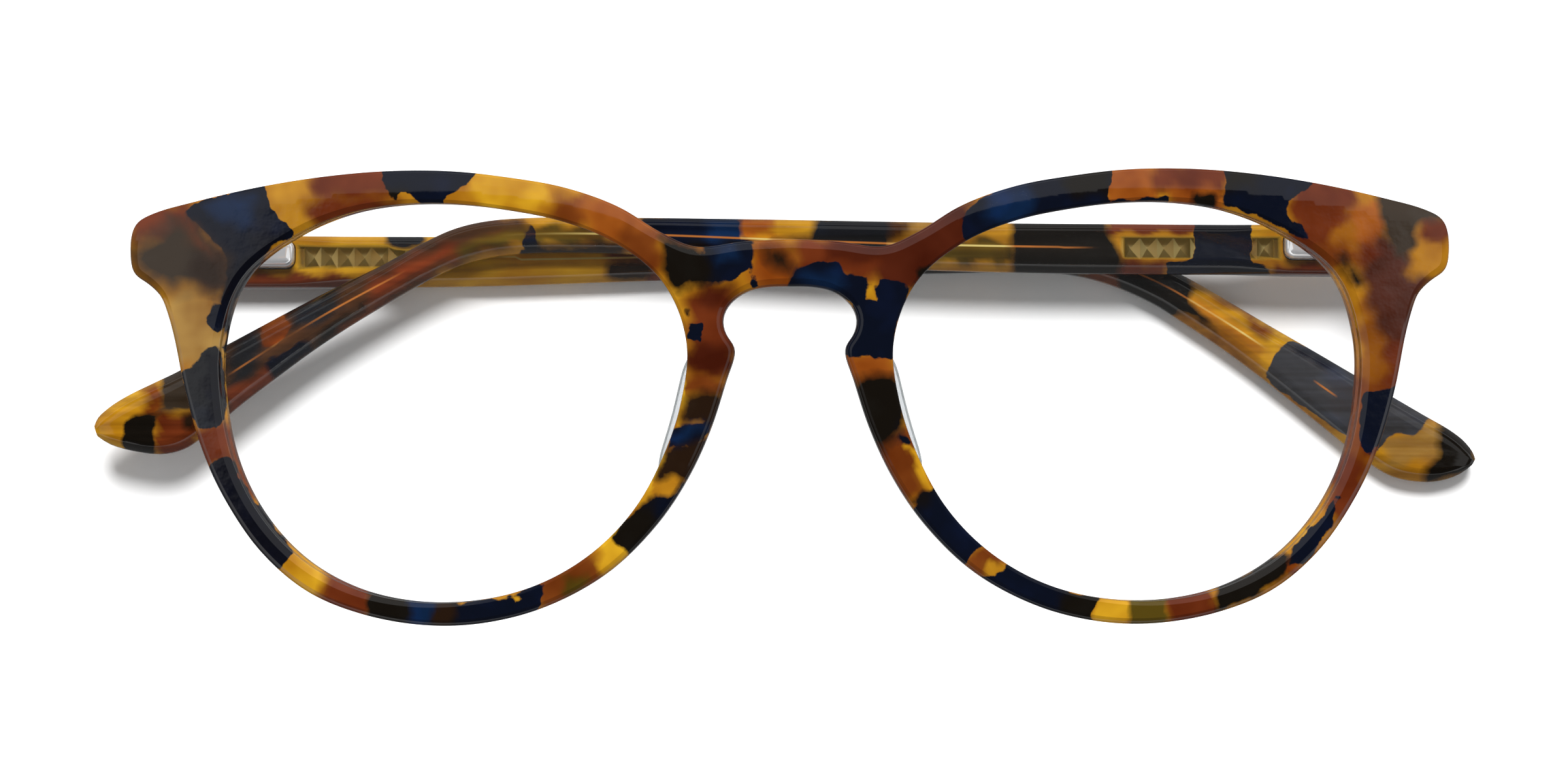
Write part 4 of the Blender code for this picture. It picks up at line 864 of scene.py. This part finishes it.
def acetate(name, along=(1.0, 1.0, 1.0), core=False):
    """Polished tortoiseshell acetate, its patches read from the mesh and broken up by noise."""
    m, nt, s = nodes_of(name)
    where = node(nt, "ShaderNodeTexCoord").outputs["Object"]
    where = node(nt, "ShaderNodeMapping", {"Vector": where, "Scale": along}).outputs[0]
    light = node(nt, "ShaderNodeAttribute", attribute_name="light_col").outputs["Color"]
    dark = node(nt, "ShaderNodeAttribute", attribute_name="dark_col").outputs["Color"]
    dist = node(nt, "ShaderNodeAttribute", attribute_name="dark_d").outputs["Fac"]
    blur = node(nt, "ShaderNodeAttribute", attribute_name="dark_blur").outputs["Fac"]
    big = node(nt, "ShaderNodeTexNoise", {"Vector": where, "Scale": 420.0, "Detail": 3.0, "Roughness": 0.55}).outputs["Fac"]
    fine = node(nt, "ShaderNodeTexNoise", {"Vector": where, "Scale": 1400.0, "Detail": 3.0, "Roughness": 0.6}).outputs["Fac"]
    cell = node(nt, "ShaderNodeTexVoronoi", {"Vector": where, "Scale": 620.0, "Randomness": 1.0}, feature="F1").outputs["Distance"]
    d = math_node(nt, "MULTIPLY_ADD", math_node(nt, "SUBTRACT", big, 0.5), 0.9)
    d.node.inputs[2].default_value = 0.0
    e = math_node(nt, "MULTIPLY", math_node(nt, "SUBTRACT", fine, 0.5), 0.35)
    c = math_node(nt, "MULTIPLY", math_node(nt, "SUBTRACT", cell, 0.45), 0.45)
    total = math_node(nt, "ADD", math_node(nt, "ADD", d, e), math_node(nt, "ADD", dist, c))
    half_w = math_node(nt, "MULTIPLY", blur, -2.0)
    fac = math_node(nt, "ADD", math_node(nt, "DIVIDE", total, half_w), 0.5, clamp=True)
    # cloudy variation of the light colour, and a faint bloom in the dark
    cloud = node(nt, "ShaderNodeTexNoise", {"Vector": where, "Scale": 210.0, "Detail": 2.0, "Roughness": 0.5}).outputs["Fac"]
    deep = mix_colour(nt, 1.0, light, (0.66, 0.52, 0.36, 1), "MULTIPLY")
    pale = mix_colour(nt, 1.0, light, (1.12, 1.15, 1.2, 1), "MULTIPLY")
    k = node(nt, "ShaderNodeMapRange", {0: cloud, 1: 0.33, 2: 0.67}).outputs[0]
    light2 = mix_colour(nt, k, deep, pale)
    bloom = node(nt, "ShaderNodeTexNoise", {"Vector": where, "Scale": 260.0, "Detail": 2.0}, noise_dimensions="4D")
    bloom.inputs["W"].default_value = 3.0
    kb = node(nt, "ShaderNodeMapRange", {0: bloom.outputs["Fac"], 1: 0.5, 2: 0.72}).outputs[0]
    dark2 = mix_colour(nt, kb, dark, mix_colour(nt, 1.0, dark, (1.25, 1.45, 1.8, 1), "MULTIPLY"))
    colour = mix_colour(nt, fac, light2, dark2)
    if core:
        # streaks along the temple (its grain and painted refraction lines), the core wire's line with a painted gleam,
        # and the clear window over its stamped bar, its amber painted brighter
        # darker streaks along the temple: the acetate's grain, together with painted refraction lines from its bevels
        grain_and_painted_refraction = node(nt, "ShaderNodeTexNoise", {
            "Vector": node(nt, "ShaderNodeMapping", {"Vector": where, "Scale": (0.12, 1.6, 1.0)}).outputs[0],
            "Scale": 700.0, "Detail": 2.0}).outputs["Fac"]
        ks = node(nt, "ShaderNodeMapRange", {0: grain_and_painted_refraction, 1: 0.35, 2: 0.65, 3: 0.0, 4: 0.75}).outputs[0]
        colour = mix_colour(nt, ks, colour, mix_colour(nt, 1.0, colour, (0.55, 0.5, 0.42, 1), "MULTIPLY"))
        across = node(nt, "ShaderNodeAttribute", attribute_name="across").outputs["Fac"]
        shown = node(nt, "ShaderNodeAttribute", attribute_name="line").outputs["Fac"]
        away = math_node(nt, "ABSOLUTE", across)
        band = node(nt, "ShaderNodeMapRange", {0: away, 1: 0.05, 2: 0.14, 3: 1.0, 4: 0.0}).outputs[0]
        # painted gleam: the acetate brightened around the core wire's line, standing in for light off the wire
        painted_wire_gleam = node(nt, "ShaderNodeMapRange", {0: away, 1: 0.1, 2: 0.75, 3: 0.55, 4: 0.0}).outputs[0]
        colour = mix_colour(nt, math_node(nt, "MULTIPLY", painted_wire_gleam, shown), colour, mix_colour(nt, 1.0, colour, (2.0, 1.75, 1.4, 1), "MULTIPLY"))
        # the core wire painted as a bright line where it shows through the acetate, its brightness partly a painted
        # highlight, broken up by noise
        tint = mix_colour(nt, fac, (0.46, 0.36, 0.12, 1), (0.30, 0.10, 0.02, 1))
        broken = node(nt, "ShaderNodeTexNoise", {"Vector": where, "Scale": 55.0, "Detail": 1.0}).outputs["Fac"]
        seen = node(nt, "ShaderNodeMapRange", {0: broken, 1: 0.47, 2: 0.56, 3: 0.0, 4: 0.9}).outputs[0]
        colour = mix_colour(nt, math_node(nt, "MULTIPLY", math_node(nt, "MULTIPLY", band, shown), seen), colour, tint)
        pane = node(nt, "ShaderNodeAttribute", attribute_name="window").outputs["Fac"]
        see = math_node(nt, "MULTIPLY", pane, node(nt, "ShaderNodeMapRange", {0: fac, 1: 0.2, 2: 0.6, 3: 0.92, 4: 0.0}).outputs[0])
        # the window's amber is painted brighter gold, standing in for the light on the stamped bar beneath
        colour = mix_colour(nt, see, colour, (0.36, 0.21, 0.02, 1))
        nt.links.new(math_node(nt, "SUBTRACT", 1.0, see), s.inputs["Alpha"])
    nt.links.new(colour, s.inputs["Base Color"])
    rough = node(nt, "ShaderNodeMapRange", {0: fine, 1: 0.3, 2: 0.7, 3: 0.05, 4: 0.10}).outputs[0]
    nt.links.new(rough, s.inputs["Roughness"])
    s.inputs["IOR"].default_value = 1.48
    bump = node(nt, "ShaderNodeBump", {"Strength": 0.06, "Distance": 0.0003, "Height": big})
    nt.links.new(bump.outputs[0], s.inputs["Normal"])
    return m


def metal(name, colour, rough, tint, scale=900.0, spread=0.06, bump=0.05, metallic=1.0):
    m, nt, s = nodes_of(name)
    where = node(nt, "ShaderNodeTexCoord").outputs["Object"]
    noise = node(nt, "ShaderNodeTexNoise", {"Vector": where, "Scale": scale, "Detail": 4.0}).outputs["Fac"]
    c = mix_colour(nt, noise, (*colour, 1), (*tint, 1))
    nt.links.new(c, s.inputs["Base Color"])
    s.inputs["Metallic"].default_value = metallic
    r = node(nt, "ShaderNodeMapRange", {0: noise, 1: 0.3, 2: 0.7, 3: rough, 4: rough + spread}).outputs[0]
    nt.links.new(r, s.inputs["Roughness"])
    b = node(nt, "ShaderNodeBump", {"Strength": bump, "Distance": 0.00005, "Height": noise})
    nt.links.new(b.outputs[0], s.inputs["Normal"])
    return m


def clear(name, tint, body, ior):
    """Clear plastic as a thin tinted pane: see-through with a gloss that grows at the edge."""
    m, nt, s = nodes_of(name)
    nt.nodes.remove(s)
    out = nt.nodes["Material Output"]
    where = node(nt, "ShaderNodeTexCoord").outputs["Object"]
    noise = node(nt, "ShaderNodeTexNoise", {"Vector": where, "Scale": 300.0, "Detail": 2.0}).outputs["Fac"]
    tr = node(nt, "ShaderNodeBsdfTransparent")
    nt.links.new(mix_colour(nt, noise, (*tint, 1), (*(min(1.0, 1.05 * c) for c in tint), 1)), tr.inputs["Color"])
    gl = node(nt, "ShaderNodeBsdfPrincipled", {"Roughness": 0.04, "Base Color": (*body, 1)})
    edge = node(nt, "ShaderNodeFresnel", {"IOR": ior}).outputs[0]
    mixed = node(nt, "ShaderNodeMixShader", {0: edge, 1: tr.outputs[0], 2: gl.outputs[0]})
    nt.links.new(mixed.outputs[0], out.inputs["Surface"])
    return m


FRONT_MAT = acetate("tortoiseshell_front")
TEMPLE_MAT = acetate("tortoiseshell_temple", (0.55, 1.0, 1.0), True)
CHROME = metal("polished_metal_finish", (0.86, 0.86, 0.87), 0.03, (0.80, 0.80, 0.82), spread=0.04, bump=0.02, metallic=0.7)
STEEL = metal("spring_steel_finish", (0.58, 0.58, 0.60), 0.18, (0.46, 0.46, 0.48), spread=0.15, bump=0.2)
WIRE = metal("core_wire_finish", (0.95, 0.78, 0.34), 0.34, (0.88, 0.68, 0.26), spread=0.1, bump=0.08)
PAD_MAT = clear("clear_acetate_finish", (0.66, 0.67, 0.68), (0.8, 0.82, 0.82), 1.35)
LENS_MAT = clear("clear_lens_finish", (0.985, 0.99, 0.99), (0.9, 0.92, 0.92), 1.10)


def wear(ob, mat):
    ob.data.materials.clear()
    ob.data.materials.append(mat)
    return ob


def coil_piece(word):
    """The hinge spring in one mesh, and its two ends: the one the case pushes and the one on the stop."""
    cad = frame["nodes"]["hinge_spring_" + word]
    mesh = cad.data.copy()
    mesh.transform(cad.matrix_world)
    ob = bpy.data.objects.new("coil_" + word, mesh)
    bpy.context.scene.collection.objects.link(ob)
    co = np.empty(len(mesh.vertices) * 3)
    mesh.vertices.foreach_get("co", co)
    lo, hi = co.reshape(-1, 3).min(0), co.reshape(-1, 3).max(0)
    mid = (lo + hi) / 2
    ends = [(float(x), float(mid[1]), float(mid[2])) for x in (lo[0], hi[0])]
    return ob, ends if word == "right" else ends[::-1]


# ---------------------------------------------------------------- pieces
front = wear(front_piece(), FRONT_MAT)
front.visible_shadow = False
paint(front, FRONT_LIGHT, FRONT_DARK, FRONT_TINT, FRONT_ISLAND, AMBER)
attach(front, "front")
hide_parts("front_frame")

for word, side in (("right", -1), ("left", 1)):
    arm = wear(temple_piece(word), TEMPLE_MAT)
    tables = (RIGHT_LIGHT, RIGHT_DARK, RIGHT_TINT) if word == "right" else (LEFT_LIGHT, LEFT_DARK, LEFT_TINT)
    patch = [(CHESTNUT, [(400, 500), (436, 482), (447, 498), (438, 514), (414, 534), (401, 530)])]
    paint(arm, *tables, [] if word == "right" else patch, GOLD)
    core_marks(arm, word)
    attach(arm, "arm_" + word)
    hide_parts("temple_" + word)
    case = wear(case_piece(word), CHROME)
    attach(case, "arm_" + word)
    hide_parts("spring_housing_" + word)
    lens = wear(lens_piece(word, side), LENS_MAT)
    lens.visible_shadow = False
    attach(lens, "front")
    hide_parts("lens_" + word)
    pad = wear(pad_piece(word, side), PAD_MAT)
    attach(pad, "front")
    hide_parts("nose_pad_" + word)
    coil, (pushed, held) = coil_piece(word)
    wear(coil, STEEL)
    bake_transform(coil)
    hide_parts("hinge_spring_" + word)
    for n, m in (
        ("core_wire_", WIRE), ("hinge_leaf_", CHROME), ("hinge_screw_", STEEL), ("spring_slider_", STEEL),
        ("spring_stop_", STEEL),
    ):
        for slot in frame["nodes"][n + word].material_slots:
            slot.material = m

# ---------------------------------------------------------------- floor and light
mesh = bpy.data.meshes.new("floor")
mesh.from_pydata([(-3, -3, 0), (3, -3, 0), (3, 3, 0), (-3, 3, 0)], [], [(0, 1, 2, 3)])
floor = bpy.data.objects.new("floor", mesh)
bpy.context.scene.collection.objects.link(floor)
floor.location.z = -0.0002
floor.visible_glossy = False
fm, fnt, fs = nodes_of("floor_paper")
fwhere = node(fnt, "ShaderNodeTexCoord").outputs["Object"]
fnoise = node(fnt, "ShaderNodeTexNoise", {"Vector": fwhere, "Scale": 40.0, "Detail": 3.0}).outputs["Fac"]
fnt.links.new(mix_colour(fnt, fnoise, (0.90, 0.90, 0.90, 1), (0.93, 0.93, 0.93, 1)), fs.inputs["Base Color"])
fs.inputs["Roughness"].default_value = 0.9
fs.inputs["Specular IOR Level"].default_value = 0.1
floor.data.materials.append(fm)

world = bpy.data.worlds.new("studio")
bpy.context.scene.world = world
world.use_nodes = True
wnt = world.node_tree
wnt.nodes.clear()
way = node(wnt, "ShaderNodeSeparateXYZ", {0: node(wnt, "ShaderNodeTexCoord").outputs["Generated"]})
wx, wy, wz = way.outputs
up = math_node(wnt, "MAXIMUM", wz, 0.02)
side_on = math_node(wnt, "ABSOLUTE", math_node(wnt, "DIVIDE", wx, up))
brow_on = math_node(wnt, "MULTIPLY", math_node(wnt, "DIVIDE", wy, up), 1.24)
reach = math_node(wnt, "SUBTRACT", math_node(wnt, "ADD", side_on, brow_on), 0.27)
soft = node(wnt, "ShaderNodeMapRange", {0: reach, 1: 0.0, 2: 0.06, 3: 0.04, 4: 0.62}).outputs[0]
low = node(wnt, "ShaderNodeMapRange", {0: wz, 1: 0.42, 2: 0.5, 3: 0.0, 4: 1.0}).outputs[0]
rim = node(wnt, "ShaderNodeMapRange", {0: wz, 1: 0.16, 2: 0.2, 3: 0.95, 4: 0.06}).outputs[0]
under = node(wnt, "ShaderNodeMapRange", {0: wz, 1: -0.1, 2: 0.0, 3: 0.22, 4: 1.0}).outputs[0]
rim = math_node(wnt, "MULTIPLY", rim, under)
box = mix_colour(wnt, low, rim, soft)
shiny = node(wnt, "ShaderNodeBackground", {"Color": box, "Strength": 1.0})
haze = node(wnt, "ShaderNodeMapRange", {0: wz, 1: 0.0, 2: 1.0, 3: 0.55, 4: 0.35}).outputs[0]
plain = node(wnt, "ShaderNodeBackground", {"Color": haze, "Strength": 1.0})
glossy = node(wnt, "ShaderNodeLightPath").outputs["Is Glossy Ray"]
both = node(wnt, "ShaderNodeMixShader", {0: glossy, 1: plain.outputs[0], 2: shiny.outputs[0]})
wout = node(wnt, "ShaderNodeOutputWorld", {"Surface": both.outputs[0]})

data = bpy.data.lights.new("key", "SUN")
data.energy = 5.4
data.angle = 0.52
key = bpy.data.objects.new("key", data)
bpy.context.scene.collection.objects.link(key)
key.rotation_euler = (math.radians(-34.0), 0, 0)
key.visible_glossy = False
